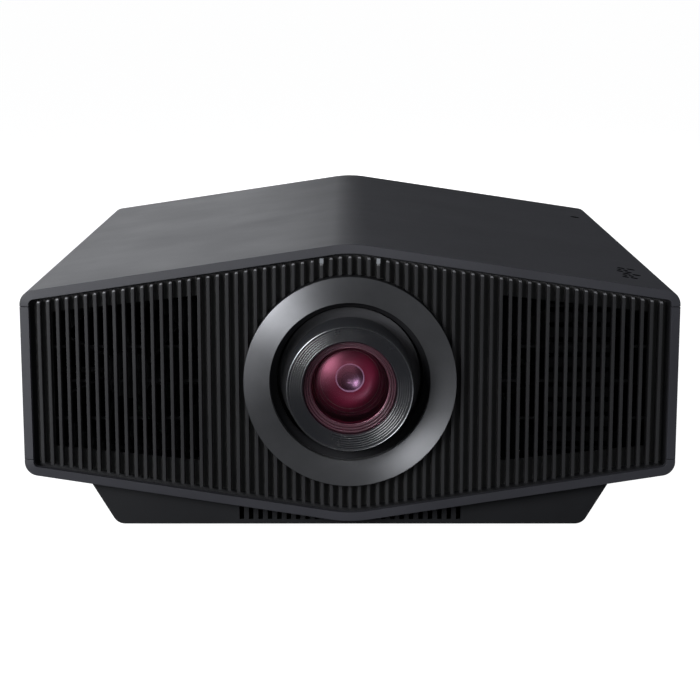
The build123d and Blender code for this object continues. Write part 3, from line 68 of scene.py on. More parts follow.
# ---- the housing's section ----
ROOF_APEX_Z = 211.97 * MM  # where the two roof planes would meet
ROOF_SLOPE = 0.1506  # fall for each unit of X
KEEL_APEX_Z = 11.65 * MM  # where the two underside planes would meet
KEEL_SLOPE = 0.1549  # rise for each unit of X
RIDGE_RADIUS = 90 * MM  # also the keel's
SHOULDER_RADIUS = 10 * MM  # the section's four outer corners
RIDGE_STEPS = 8
SHOULDER_STEPS = 14
WALL = 2.5 * MM
SEAM_GAP = 0.4 * MM
RIM_WIDTH = 6.4 * MM  # the strip round the front
RIM_DEPTH = 5 * MM
RIM_LEAN = 0.55 * MM  # its outer edge stands this far behind its inner edge
REAR_RIM_WIDTH = 5 * MM
REAR_RIM_DEPTH = 4 * MM

# ---- front grille ----
PLATE_THICKNESS = 2 * MM
PLATE_INSET = WALL + 0.3 * MM  # the plates fit inside the wall
MARGIN_THICKNESS = 0.3 * MM
SLAT_COUNT = 67
SLAT_PITCH = 6.58 * MM
SLAT_WIDTH = 2.3 * MM
SLAT_EDGE = 0.3 * MM  # rounding of a slat's front edges
SLAT_SETBACK = 2.5 * MM
SLAT_END_INSET = RIM_WIDTH + 2.3 * MM
INDICATOR_SLAT = 3  # the slat under an indicator, counted from the middle one
INDICATOR_Z = 199 * MM
WINDOW_INNER_X = 105 * MM
WINDOW_OUTER_X = 209 * MM
WINDOW_LOW_Z = (54.7 * MM, 65.5 * MM)  # at the window's inner and outer edge
WINDOW_TOP_Z = (174 * MM, 162 * MM)
CROSS_BAR_Z = (85.7 * MM, 112.7 * MM, 137.3 * MM)
CROSS_BAR_HEIGHT = 2 * MM

# ---- rear panel ----
REAR_FACE_Y = REAR_Y - REAR_RIM_DEPTH
REAR_PLATE_Y = REAR_FACE_Y - 2.5 * MM
REAR_WINDOW_INNER_X = 100 * MM
REAR_WINDOW_OUTER_X = 208 * MM
REAR_WINDOW_LOW_Z = (56 * MM, 66 * MM)
REAR_WINDOW_TOP_Z = (172 * MM, 160 * MM)
REAR_BAR_Z = (90 * MM, 113 * MM, 136 * MM)
REAR_BAR_HEIGHT = 3 * MM
BAY_WALL = 2.5 * MM  # round the connector bay
BAY_LOW_X = bay_low.x + BAY_WALL
BAY_HIGH_X = bay_high.x - BAY_WALL
BAY_LOW_Z = bay_low.z + BAY_WALL
BAY_HIGH_Z = bay_high.z - BAY_WALL

# ---- lens, from its front edge inwards ----
RING_INNER_R = 56.3 * MM
RING_FOOT_R = 72 * MM  # inside of the edge that the ring stands on
LENS_OPENING_R = 59 * MM  # the hole in the grille plate
RIM_LINE_WIDTH = 0.9 * MM  # the metal line round the barrel's front
CONE_DEPTH = 3 * MM
CONE_RIBS = 6
RIB_HEIGHT = 0.55 * MM
GLASS_R = 32.4 * MM
GLASS_EDGE_Y = RIM_Y + 3.2 * MM
ELEMENT_THICKNESS = 1.2 * MM
BEZEL_RIBS = 3
BEZEL_END_Y = GLASS_EDGE_Y + 8 * MM
SECOND_R = 27.5 * MM  # the opening in front of the second element
SECOND_EDGE_Y = GLASS_EDGE_Y + 14 * MM
DEEP_R = 9.8 * MM
DEEP_Y = GLASS_EDGE_Y + 36 * MM
BOWL_MOUTH_R = 27.1 * MM
BOWL_MOUTH_Y = SECOND_EDGE_Y + 1.4 * MM
BOWL_END_R = DEEP_R + 0.6 * MM


# ---- node materials ----
def new_material(name):
    material = bpy.data.materials.new(name)
    material.use_nodes = True
    nodes = material.node_tree.nodes
    shader = nodes["Principled BSDF"]
    return material, nodes, material.node_tree.links, shader


def noise(nodes, links, coordinates, scale, detail=4.0, roughness=0.55):
    texture = nodes.new("ShaderNodeTexNoise")
    texture.inputs["Scale"].default_value = scale
    texture.inputs["Detail"].default_value = detail
    texture.inputs["Roughness"].default_value = roughness
    links.new(coordinates, texture.inputs["Vector"])
    return texture


NOISE_LOW = 0.3  # most noise values lie between these two
NOISE_HIGH = 0.7


def mapped(nodes, links, value, low, high):
    """A noise value spread between low and high."""
    node = nodes.new("ShaderNodeMapRange")
    node.inputs["From Min"].default_value = NOISE_LOW
    node.inputs["From Max"].default_value = NOISE_HIGH
    node.inputs["To Min"].default_value = low
    node.inputs["To Max"].default_value = high
    links.new(value, node.inputs["Value"])
    return node.outputs["Result"]


def shaded_color(nodes, links, value, dark, light):
    mix = nodes.new("ShaderNodeMix")
    mix.data_type = "RGBA"
    mix.inputs["A"].default_value = (*dark, 1)
    mix.inputs["B"].default_value = (*light, 1)
    links.new(value, mix.inputs["Factor"])
    return mix.outputs["Result"]


def bumped(nodes, links, shader, height, distance, strength):
    bump = nodes.new("ShaderNodeBump")
    bump.inputs["Distance"].default_value = distance
    bump.inputs["Strength"].default_value = strength
    links.new(height, bump.inputs["Height"])
    links.new(bump.outputs["Normal"], shader.inputs["Normal"])
    return bump


CLOUD_SCALE = 14.0
CLOUD_GLOSS = 0.07  # share of the roughness that the clouds add or take away
GRAIN_DEPTH = 0.25  # depth of the grain as a share of its size
COAT_ROUGHNESS = 0.22


def plastic(name, color, rough, grain_mm=0.35, grain=0.25, spread=0.12,
            specular=0.5, metallic=0.0, coat=0.0):
    """Moulded or painted surface: fine grain, cloudy gloss and a slight change of tone."""
    material, nodes, links, shader = new_material(name)
    place = nodes.new("ShaderNodeTexCoord").outputs["Object"]
    cloud = noise(nodes, links, place, CLOUD_SCALE, 5.0)
    fine = noise(nodes, links, place, 1 / (grain_mm * MM), 2.0)
    dark = [c * (1 - spread) for c in color]
    light = [c * (1 + spread) for c in color]
    tone = mapped(nodes, links, cloud.outputs["Fac"], 0.0, 1.0)
    links.new(shaded_color(nodes, links, tone, dark, light), shader.inputs["Base Color"])
    gloss = mapped(nodes, links, cloud.outputs["Fac"], rough * (1 - CLOUD_GLOSS), rough * (1 + CLOUD_GLOSS))
    links.new(gloss, shader.inputs["Roughness"])
    bumped(nodes, links, shader, fine.outputs["Fac"], grain_mm * MM * GRAIN_DEPTH, grain)
    shader.inputs["Metallic"].default_value = metallic
    shader.inputs["Specular IOR Level"].default_value = specular
    shader.inputs["Coat Weight"].default_value = coat
    shader.inputs["Coat Roughness"].default_value = COAT_ROUGHNESS
    return material


def turned_metal(name, color, rough, anisotropic, line_mm=0.12, lines=0.2, metallic=1.0):
    """Metal turned on a lathe about the lens axis: fine circular lines and a fanned highlight."""
    material, nodes, links, shader = new_material(name)
    place = nodes.new("ShaderNodeTexCoord").outputs["Object"]
    shift = nodes.new("ShaderNodeVectorMath")
    shift.operation = "MULTIPLY_ADD"
    shift.inputs[1].default_value = (1, 0, 1)
    shift.inputs[2].default_value = (0, 0, -LENS_Z)
    links.new(place, shift.inputs[0])
    radius = nodes.new("ShaderNodeVectorMath")
    radius.operation = "LENGTH"
    links.new(shift.outputs["Vector"], radius.inputs[0])
    scale = nodes.new("ShaderNodeMath")
    scale.operation = "MULTIPLY"
    scale.inputs[1].default_value = 1 / (line_mm * MM)
    links.new(radius.outputs["Value"], scale.inputs[0])
    line = nodes.new("ShaderNodeTexNoise")
    line.noise_dimensions = "1D"
    line.inputs["Scale"].default_value = 1.0
    line.inputs["Detail"].default_value = 3.0
    links.new(scale.outputs["Value"], line.inputs["W"])
    cloud = noise(nodes, links, place, 30.0, 4.0)
    dark = [c * 0.9 for c in color]
    light = [c * 1.1 for c in color]
    tone = mapped(nodes, links, cloud.outputs["Fac"], 0.0, 1.0)
    links.new(shaded_color(nodes, links, tone, dark, light), shader.inputs["Base Color"])
    gloss = mapped(nodes, links, line.outputs["Fac"], rough * 0.9, rough * 1.1)
    links.new(gloss, shader.inputs["Roughness"])
    bumped(nodes, links, shader, line.outputs["Fac"], line_mm * MM * 0.2, lines)
    tangent = nodes.new("ShaderNodeTangent")
    tangent.direction_type = "RADIAL"
    tangent.axis = "Y"
    links.new(tangent.outputs["Tangent"], shader.inputs["Tangent"])
    shader.inputs["Metallic"].default_value = metallic
    shader.inputs["Anisotropic"].default_value = anisotropic
    shader.inputs["Anisotropic Rotation"].default_value = 0.25
    return material


def coated_glass(name, clear_tint, reflection, rough, ior):
    """Thin coated glass: tinted see-through, with a coloured reflection that grows towards the edge."""
    material, nodes, links, shader = new_material(name)
    nodes.remove(shader)
    output = nodes["Material Output"]
    clear = nodes.new("ShaderNodeBsdfTransparent")
    clear.inputs["Color"].default_value = (*clear_tint, 1)
    gloss = nodes.new("ShaderNodeBsdfGlossy")
    place = nodes.new("ShaderNodeTexCoord").outputs["Object"]
    cloud = noise(nodes, links, place, 60.0, 3.0)
    tone = mapped(nodes, links, cloud.outputs["Fac"], 0.0, 1.0)
    warm = [min(1.0, c * 1.05) for c in reflection]
    cool = [c * 0.92 for c in reflection]
    links.new(shaded_color(nodes, links, tone, cool, warm), gloss.inputs["Color"])
    gloss.inputs["Roughness"].default_value = rough
    facing = nodes.new("ShaderNodeFresnel")
    facing.inputs["IOR"].default_value = ior
    mix = nodes.new("ShaderNodeMixShader")
    links.new(facing.outputs["Fac"], mix.inputs["Fac"])
    links.new(clear.outputs["BSDF"], mix.inputs[1])
    links.new(gloss.outputs["BSDF"], mix.inputs[2])
    links.new(mix.outputs["Shader"], output.inputs["Surface"])
    return material


# Each plastic gives its name, colour and roughness, then the size in mm and the strength of its grain.
HOUSING = plastic("housing_black", (0.0275, 0.0277, 0.0325), 0.46, 0.30, 0.22)
GRILLE = plastic("grille_black", (0.0165, 0.0165, 0.0172), 0.40, 0.25, 0.15, specular=0.45)
# Partly the plate's own dark plastic, partly painted light: it is several times lighter than the slats, so
# the shaded gaps between them read grey.
GRILLE_PLATE = plastic("grille_plate_black", (0.078, 0.077, 0.076), 0.55, 0.25, 0.15, specular=0.3)
# Painted highlight: a lighter copy of the grille plastic for the slats' sloping top ends.
SLAT_TIP_HIGHLIGHT = plastic("slat_tip_painted_highlight", (0.12, 0.12, 0.124), 0.35, 0.25, 0.15, specular=0.6)
BASE = plastic("base_black", (0.0080, 0.0083, 0.0093), 0.50, 0.30, 0.25, specular=0.25)
RECESS = plastic("recess_black", (0.013, 0.013, 0.0142), 0.50, 0.25, 0.12, specular=0.4)
# Painted light: a lighter copy of the recess plastic, so that the shaded depth round the barrel reads grey.
SHIELD = plastic("light_shield_black", (0.05, 0.05, 0.053), 0.60, 0.25, 0.12, specular=0.3)
RING = turned_metal("ring_metal", (0.245, 0.247, 0.254), 0.455, 0.90, metallic=0.92)
LENS_BLACK = plastic("lens_black", (0.011, 0.0115, 0.0135), 0.27, 0.20, 0.01, specular=1.0, coat=0.8)
SLEEVE = plastic("lens_sleeve_black", (0.028, 0.029, 0.033), 0.48, 0.20, 0.12)
LENS_RIM = turned_metal("lens_rim_metal", (0.26, 0.265, 0.275), 0.30, 0.5)
INDICATOR = plastic("indicator_clear", (0.20, 0.21, 0.22), 0.25, 0.5, 0.05, specular=0.6)
CONNECTOR_PLATE = plastic("connector_plate_grey", (0.055, 0.056, 0.060), 0.50, 0.30, 0.08, specular=0.4)
PANEL = plastic("panel_gloss_black", (0.010, 0.010, 0.011), 0.16, 0.25, 0.03, coat=0.5)
BUTTON = plastic("button_grey", (0.085, 0.086, 0.090), 0.38, 0.25, 0.2)
RUBBER = plastic("rubber_black", (0.018, 0.018, 0.018), 0.75, 0.4, 0.5, specular=0.3)
STEEL = plastic("plated_steel", (0.50, 0.50, 0.51), 0.32, 0.4, 0.08, metallic=1.0)
ALUMINIUM = plastic("cast_aluminium", (0.48, 0.49, 0.50), 0.45, 0.6, 0.35, metallic=1.0)
ANODISED = plastic("anodised_black", (0.035, 0.035, 0.038), 0.50, 0.4, 0.10, specular=0.35)
SOCKET = plastic("socket_black", (0.012, 0.012, 0.012), 0.45, 0.3, 0.2)
MOTOR = plastic("motor_steel", (0.35, 0.35, 0.36), 0.38, 0.4, 0.1, metallic=1.0)
GEAR = plastic("acetal_white", (0.62, 0.61, 0.57), 0.42, 0.4, 0.1)
COPPER = plastic("machined_copper", (0.62, 0.33, 0.22), 0.35, 0.5, 0.12, metallic=1.0)
OPTICS = plastic("prism_glass", (0.35, 0.40, 0.46), 0.08, 0.8, 0.02, specular=0.8)
PHOSPHOR = plastic("phosphor_yellow", (0.70, 0.62, 0.16), 0.5, 0.3, 0.2)
FAN = plastic("fan_black", (0.006, 0.006, 0.0065), 0.6, 0.4, 0.15, specular=0.2)
BOARD = plastic("circuit_green", (0.006, 0.022, 0.011), 0.4, 0.8, 0.2)
FILTER = plastic("filter_dark", (0.045, 0.045, 0.044), 0.85, 0.6, 0.6, specular=0.2)
MARK = plastic("mark_black", (0.002, 0.002, 0.0022), 0.80, 0.25, 0.10, specular=0.0)
FRONT_COATING = coated_glass("front_coating", (0.98, 0.95, 0.97), (0.80, 0.45, 0.60), 0.05, 1.28)
SECOND_COATING = coated_glass("second_coating", (0.96, 0.88, 0.93), (0.54, 0.21, 0.28), 0.33, 1.75)
DEEP_COATING = coated_glass("deep_coating", (0.90, 0.84, 0.95), (0.92, 0.78, 1.0), 0.33, 2.6)
# Painted reflection, in part: the bowl's crimson base colour stands in for the coloured glow of the lens
# coatings; its highlights are rendered.
BOWL = plastic("lens_bowl_crimson", (0.185, 0.0125, 0.042), 0.42, 0.3, 0.0, specular=0.36)
# Painted reflection: the stop's bright violet stands in for the lavender that the deep element's coating
# reflects.
DEEP_BOWL = plastic("lens_bowl_violet", (0.80, 0.58, 0.78), 0.4, 0.3, 0.0, specular=0.5)
# Painted reflection, in part: the deep retainer's pale lavender stands in for a ring of reflected light; its
# highlight is rendered.
DEEP_EDGE = plastic("lens_deep_edge", (0.62, 0.52, 0.64), 0.3, 0.3, 0.0, specular=0.8)
# Painted reflection, in part: the bezel's mauve and its retainer's pink stand in for the coatings' coloured
# reflection; their highlights are rendered.
BEZEL = plastic("lens_bezel", (0.085, 0.042, 0.051), 0.30, 0.25, 0.0, specular=0.8)
# Painted reflection, in part: the cell edges' light olive tone stands in for reflected arcs; their highlights
# are rendered.
CELL_EDGE = plastic("lens_cell_edge", (0.30, 0.21, 0.17), 0.28, 0.25, 0.0, specular=0.9)
BEZEL_EDGE = turned_metal("lens_bezel_edge", (0.62, 0.36, 0.42), 0.34, 0.4)

# ---- give every CAD node its material ----
NODE_MATERIALS = {
    HOUSING: ("top_cover", "side_panel_left", "side_panel_right", "bottom_cover", "rear_panel"),
    PANEL: ("control_panel",),
    CONNECTOR_PLATE: ("connector_plate",),
    BASE: ("base_plinth",),
    GRILLE: ("front_grille",),
    RECESS: ("lens_recess_cup", "exhaust_mesh"),
    RING: ("lens_ring",),
    LENS_BLACK: ("lens_barrel",),
    SECOND_COATING: ("front_glass",),
    OPTICS: ("prism_block", "zoom_group", "focus_group"),
    INDICATOR: ("indicator_windows",),
    BUTTON: ("power_button", "input_button", "menu_button", "joystick_cap", "joystick_gimbal"),
    RUBBER: ("rear_feet", "front_foot_pad_left", "front_foot_pad_right"),
    STEEL: (
        "housing_screws", "front_foot_screw_left", "front_foot_screw_right", "vertical_guide_rods",
        "vertical_lead_screw", "horizontal_lead_screw", "chassis_tray", "hdmi_ports",
        "usb_port", "serial_port", "zoom_pinion", "focus_pinion",
    ),
    ALUMINIUM: ("optical_bench", "laser_heat_sink"),
    ANODISED: ("horizontal_carriage", "vertical_carriage", "lens_mount_frame"),
    SOCKET: ("lan_port", "jack_sockets", "ac_inlet"),
    MOTOR: ("vertical_shift_motor", "horizontal_shift_motor", "lens_drive_motors", "phosphor_motor"),
    GEAR: ("zoom_ring", "focus_ring"),
    COPPER: ("laser_module",),
    PHOSPHOR: ("phosphor_wheel",),
    FAN: ("fan_frames", "fan_rotor_left", "fan_rotor_right"),
    BOARD: ("power_supply", "main_board"),
    FILTER: ("air_filters",),
}
for material, names in NODE_MATERIALS.items():
    for node_name in names:
        cad_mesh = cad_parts[node_name].data
        cad_mesh.materials.clear()
        cad_mesh.materials.append(material)


# ---- mesh helpers ----
JOIN_DISTANCE = 1e-7


def clean_mesh(mesh, drop_slivers):
    """Joins points that coincide and turns every face outwards."""
    work = bmesh.new()
    work.from_mesh(mesh)
    bmesh.ops.remove_doubles(work, verts=work.verts, dist=JOIN_DISTANCE)
    if drop_slivers:
        bmesh.ops.dissolve_degenerate(work, edges=work.edges, dist=JOIN_DISTANCE)
    bmesh.ops.recalc_face_normals(work, faces=work.faces)
    work.to_mesh(mesh)
    work.free()


class Shape:
    """Points and faces of one piece, gathered before its mesh is made."""

    def __init__(self):
        self.points = []
        self.faces = []

    def loft(self, rings, closed_rings=True, ends="caps"):
        """Faces between neighbouring rings. ends: caps closes both ends, loop joins the last to the first."""
        start = len(self.points)
        size = len(rings[0])
        for ring in rings:
            self.points.extend(ring)
        spans = len(rings) if ends == "loop" else len(rings) - 1
        steps = size if closed_rings else size - 1
        for i in range(spans):
            a = start + i * size
            b = start + ((i + 1) % len(rings)) * size
            for j in range(steps):
                k = (j + 1) % size
                self.faces.append((a + j, a + k, b + k, b + j))
        if ends == "caps":
            last = start + (len(rings) - 1) * size
            self.faces.append(tuple(range(start, start + size)))
            self.faces.append(tuple(range(last + size - 1, last - 1, -1)))

    def box(self, low, high):
        corners = [(low[0], low[1]), (high[0], low[1]), (high[0], high[1]), (low[0], high[1])]
        self.loft([[(x, y, z) for x, y in corners] for z in (low[2], high[2])])

    def lathe(self, profile, segments=192, x=0.0, z=None, closed=True):
        """A loop of (radius, y) turned about the Y axis through (x, z)."""
        z = LENS_Z if z is None else z
        rings = []
        for i in range(segments):
            angle = 2 * math.pi * i / segments
            rings.append([(x + r * math.cos(angle), y, z + r * math.sin(angle)) for r, y in profile])
        self.loft(rings, closed_rings=closed, ends="loop")

    def piece(self, name, body, material, smooth=32.0, bevel=0.0, slot=None, bevel_angle=40.0):
        mesh = bpy.data.meshes.new(name)
        mesh.from_pydata([tuple(p) for p in self.points], [], self.faces)
        clean_mesh(mesh, drop_slivers=True)
        return place_mesh(mesh, name, body, material, smooth, bevel, bevel_angle)


def place_mesh(mesh, name, body, material, smooth=32.0, bevel=0.0, bevel_angle=40.0):
    """Makes the mesh a piece that rides on a body, with edges sharper than smooth degrees kept."""
    mesh.materials.clear()
    mesh.materials.append(material)
    mesh.shade_smooth()
    obj = bpy.data.objects.new(name, mesh)
    scene.collection.objects.link(obj)
    if bevel:
        modifier = obj.modifiers.new("bevel", "BEVEL")
        modifier.width = bevel
        modifier.segments = 2
        modifier.limit_method = "ANGLE"
        modifier.angle_limit = math.radians(bevel_angle)
        bake_modifiers(obj)
    obj.data.set_sharp_from_angle(angle=math.radians(smooth))
    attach(obj, body)
    return obj


def bake_modifiers(obj):
    """The evaluated mesh becomes the object's own."""
    depsgraph = bpy.context.evaluated_depsgraph_get()
    mesh = bpy.data.meshes.new_from_object(obj.evaluated_get(depsgraph))
    obj.modifiers.clear()
    obj.data = mesh


def plate_mesh(name, outer, holes, y0, y1, bevel=0.0):
    """A flat plate drawn as (x, z) outlines, from y0 to y1, with holes through it."""
    curve = bpy.data.curves.new(name, "CURVE")
    curve.dimensions = "2D"
    curve.fill_mode = "BOTH"
    curve.extrude = (y1 - y0) / 2 - bevel
    curve.bevel_depth = bevel
    curve.bevel_resolution = 1
    for loop in [outer] + holes:
        spline = curve.splines.new("POLY")
        spline.points.add(len(loop) - 1)
        for point, (x, z) in zip(spline.points, loop):
            point.co = (x, z, 0, 1)
        spline.use_cyclic_u = True
    curve_object = bpy.data.objects.new(name + "_outline", curve)
    scene.collection.objects.link(curve_object)
    bpy.context.view_layer.update()
    depsgraph = bpy.context.evaluated_depsgraph_get()
    mesh = bpy.data.meshes.new_from_object(curve_object.evaluated_get(depsgraph))
    bpy.data.objects.remove(curve_object)
    mesh.transform(Matrix.Translation((0, (y0 + y1) / 2, 0)) @ Matrix.Rotation(math.radians(90), 4, "X"))
    clean_mesh(mesh, drop_slivers=False)
    return mesh


def circle(radius, x, z, count=96):
    return [
        (x + radius * math.cos(2 * math.pi * i / count), z + radius * math.sin(2 * math.pi * i / count))
        for i in range(count)
    ]


# ---- housing shells, swept along the section ----
def fillet_center(corner, first, second, radius):
    """Centre of a fillet: radius inside both faces, given by their normals, that meet at the corner."""
    bisector = (first + second).normalized()
    return corner - bisector * (radius / bisector.dot(first))


def arc_stations(center, radius, first, second, steps):
    """Stations along an arc whose normal turns from first to second."""
    start = math.atan2(first.y, first.x)
    end = math.atan2(second.y, second.x)
    for i in range(steps + 1):
        angle = start + (end - start) * i / steps
        yield center.x, center.y, radius, math.cos(angle), math.sin(angle)


def section_stations():
    """Stations (centre x, centre z, radius, normal x, normal z) round the right half, keel to ridge."""
    down = Vector((0, -1))
    side = Vector((1, 0))
    up = Vector((0, 1))
    low = Vector((KEEL_SLOPE, -1)).normalized()
    top = Vector((ROOF_SLOPE, 1)).normalized()
    hip_corner = Vector((HALF_WIDTH, KEEL_APEX_Z + KEEL_SLOPE * HALF_WIDTH))
    shoulder_corner = Vector((HALF_WIDTH, ROOF_APEX_Z - ROOF_SLOPE * HALF_WIDTH))
    keel = fillet_center(Vector((0, KEEL_APEX_Z)), low, Vector((-low.x, low.y)), RIDGE_RADIUS)
    hip = fillet_center(hip_corner, low, side, SHOULDER_RADIUS)
    shoulder = fillet_center(shoulder_corner, side, top, SHOULDER_RADIUS)
    ridge = fillet_center(Vector((0, ROOF_APEX_Z)), top, Vector((-top.x, top.y)), RIDGE_RADIUS)
    low_part = list(arc_stations(keel, RIDGE_RADIUS, down, low, RIDGE_STEPS))
    low_part += arc_stations(hip, SHOULDER_RADIUS, low, side, SHOULDER_STEPS)
    top_part = list(arc_stations(shoulder, SHOULDER_RADIUS, side, top, SHOULDER_STEPS))
    top_part += arc_stations(ridge, RIDGE_RADIUS, top, up, RIDGE_STEPS)
    return low_part, top_part


def side_station(z):
    return HALF_WIDTH - SHOULDER_RADIUS, z, SHOULDER_RADIUS, 1.0, 0.0


def mirrored(stations):
    return [(-cx, cz, r, -nx, nz) for cx, cz, r, nx, nz in reversed(stations)]


def section_point(station, inset):
    cx, cz, radius, nx, nz = station
    return cx + (radius - inset) * nx, cz + (radius - inset) * nz


LOW_PART, TOP_PART = section_stations()


def wall_loop():
    """The wall cut along its length: (inset, y) points with rounded front and rear edges."""
    outer_round = 0.5 * MM
    inner_round = 0.25 * MM

    def quarter(cx, cy, radius, start, steps=3):
        for i in range(steps + 1):
            angle = math.radians(start + 90 * i / steps)
            yield cx + radius * math.cos(angle), cy + radius * math.sin(angle)

    loop = list(quarter(outer_round, FRONT_Y + RIM_LEAN + outer_round, outer_round, 180))
    loop += list(quarter(RIM_WIDTH - inner_round, FRONT_Y + inner_round, inner_round, 270))
    loop += [(RIM_WIDTH, FRONT_Y + RIM_DEPTH), (WALL, FRONT_Y + RIM_DEPTH)]
    loop += [(WALL, REAR_Y - REAR_RIM_DEPTH), (REAR_RIM_WIDTH, REAR_Y - REAR_RIM_DEPTH)]
    loop += list(quarter(REAR_RIM_WIDTH - inner_round, REAR_Y - inner_round, inner_round, 0))
    loop += list(quarter(outer_round, REAR_Y - outer_round, outer_round, 90))
    return loop


def shell(name, stations):
    """One housing piece: the wall loop swept along its stations."""
    shape = Shape()
    loop = wall_loop()
    rings = []
    for station in stations:
        ring = []
        for inset, y in loop:
            x, z = section_point(station, inset)
            ring.append((x, y, z))
        rings.append(ring)
    shape.loft(rings)
    edge = 0.18 * MM
    obj = shape.piece(name, "housing", HOUSING, bevel=edge, slot="housing_plastic", bevel_angle=60.0)
    flatten_shading(obj)
    return obj


def flatten_shading(obj):
    """Wide faces keep their own shading up to their rounded edges."""
    obj.data.set_sharp_from_angle(angle=math.radians(28))
    modifier = obj.modifiers.new("flat", "WEIGHTED_NORMAL")
    modifier.keep_sharp = True
    bake_modifiers(obj)


def make_housing():
    """Top cover, bottom cover and two side panels, parted by thin seams."""
    top_seam = TOP_SEAM_Z + SEAM_GAP
    low_seam = LOW_SEAM_Z - SEAM_GAP
    top_stations = [side_station(top_seam)] + TOP_PART
    top_stations += mirrored(TOP_PART)[1:] + mirrored([side_station(top_seam)])
    low_stations = mirrored([side_station(low_seam)]) + mirrored(LOW_PART)
    low_stations += LOW_PART[1:] + [side_station(low_seam)]
    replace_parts(shell("top_cover_shell", top_stations), "top_cover")
    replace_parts(shell("bottom_cover_shell", low_stations), "bottom_cover")
    heights = (LOW_SEAM_Z, TOP_SEAM_Z)
    left = shell("side_panel_left_shell", mirrored([side_station(z) for z in heights]))
    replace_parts(left, "side_panel_left")
    right = shell("side_panel_right_shell", [side_station(z) for z in heights])
    cut_control_window(right)
    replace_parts(right, "side_panel_right")


def cut_control_window(panel):
    """Opens the side panel over the control panel."""
    plate_low, plate_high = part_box("control_panel")
    margin = 3 * MM
    reach = 20 * MM
    low = (HALF_WIDTH - reach, plate_low.y + margin, plate_low.z + margin)
    high = (HALF_WIDTH + reach, plate_high.y - margin, plate_high.z - margin)
    cutter_shape = Shape()
    cutter_shape.box(low, high)
    cutter = cutter_shape.piece("window_cutter", "housing", HOUSING)
    modifier = panel.modifiers.new("window", "BOOLEAN")
    modifier.operation = "DIFFERENCE"
    modifier.solver = "EXACT"
    modifier.object = cutter
    bake_modifiers(panel)
    bpy.data.objects.remove(cutter)
    flatten_shading(panel)


make_housing()


# ---- slats ----
def outline_z(x, inset, top):
    """Height of the straight roof or keel line at x, drawn inwards by inset, with the ridge rounded."""
    slope = ROOF_SLOPE if top else KEEL_SLOPE
    run = math.hypot(1, slope)
    radius = RIDGE_RADIUS - inset
    half_arc = radius * slope / run
    if abs(x) < half_arc:
        drop = RIDGE_RADIUS * (run - 1) + radius - math.sqrt(radius ** 2 - x ** 2) + inset
    else:
        drop = slope * abs(x) + inset * run
    return ROOF_APEX_Z - drop if top else KEEL_APEX_Z + drop


def slat_section(x, y_front, y_back, inset):
    """Rounded front corners, square at the back, as (x, y) points."""
    half = SLAT_WIDTH / 2 - inset
    corner_x = half - SLAT_EDGE
    corner_y = y_front + inset * 1.4 + SLAT_EDGE
    points = [(x + half, y_back)]
    for side, start in ((1, 0), (-1, 270)):
        for i in range(4):
            angle = math.radians(start - 30 * i)
            px = x + side * corner_x + SLAT_EDGE * math.cos(angle)
            points.append((px, corner_y + SLAT_EDGE * math.sin(angle)))
    points.append((x - half, y_back))
    return points


def add_slat(shape, x, y_front, y_back, low_of, high_of):
    """An upright slat whose ends follow two height functions of x, with softened ends."""
    soft = 0.4 * MM
    tip = 1.1 * MM
    rings = []
    for height_of, offset, inset in (
        (low_of, 0.0, soft), (low_of, soft, 0.0), (high_of, -tip, 0.0), (high_of, 0.0, soft),
    ):
        ring = []
        for px, py in slat_section(x, y_front, y_back, inset):
            ring.append((px, py, height_of(px) + offset))
        rings.append(ring)
    shape.loft(rings)


def slat_ends(inset):
    """Two height functions of x, for the lower and the upper end of a slat."""
    def bottom(x):
        return outline_z(x, inset, False)

    def top(x):
        return outline_z(x, inset, True)

    return bottom, top


def paint_slat_tips(slats):
    """The sloping upper ends of the slats take a lighter material, a painted highlight; the cross bars behind
    them do not.
    """
    flatten_shading(slats)
    slats.data.materials.append(SLAT_TIP_HIGHLIGHT)
    for face in slats.data.polygons:
        if face.normal.z > 0.2 and not PLATE_Y <= face.center.y <= REAR_FACE_Y:
            face.material_index = 1


# ---- front grille ----
def housing_outline(inset):
    """The whole section as (x, z) points."""
    right = [section_point(s, inset) for s in LOW_PART + TOP_PART]
    left = [(-x, z) for x, z in reversed(right[1:-1])]
    return right + left


def window_outlines(inner_x, outer_x, low_z, top_z):
    """A left and a right window as (x, z) outlines, with each height given at the inner and outer edge."""
    outlines = []
    for side in (-1, 1):
        outlines.append([
            (side * inner_x, low_z[0]), (side * outer_x, low_z[1]),
            (side * outer_x, top_z[1]), (side * inner_x, top_z[0]),
        ])
    return outlines


def add_front_slats(shape):
    """A slat at every pitch, parted in two where the lens ring covers its middle."""
    y_front = FRONT_Y + SLAT_SETBACK
    y_back = PLATE_Y + FACE_GAP
    clear_r = RING_OUTER_R + 0.3 * MM
    bottom, top = slat_ends(SLAT_END_INSET)

    def ring_top(x):
        return LENS_Z + math.sqrt(max(clear_r ** 2 - x ** 2, 0))

    def ring_bottom(x):
        return LENS_Z - math.sqrt(max(clear_r ** 2 - x ** 2, 0))

    def under_indicator(x):
        return INDICATOR_Z - 2 * MM

    middle = SLAT_COUNT // 2
    for i in range(-middle, middle + 1):
        x = i * SLAT_PITCH
        high = under_indicator if abs(i) == INDICATOR_SLAT else top
        if abs(x) < clear_r:
            add_slat(shape, x, y_front, y_back, ring_top, high)
            add_slat(shape, x, y_front, y_back, bottom, ring_bottom)
        else:
            add_slat(shape, x, y_front, y_back, bottom, high)


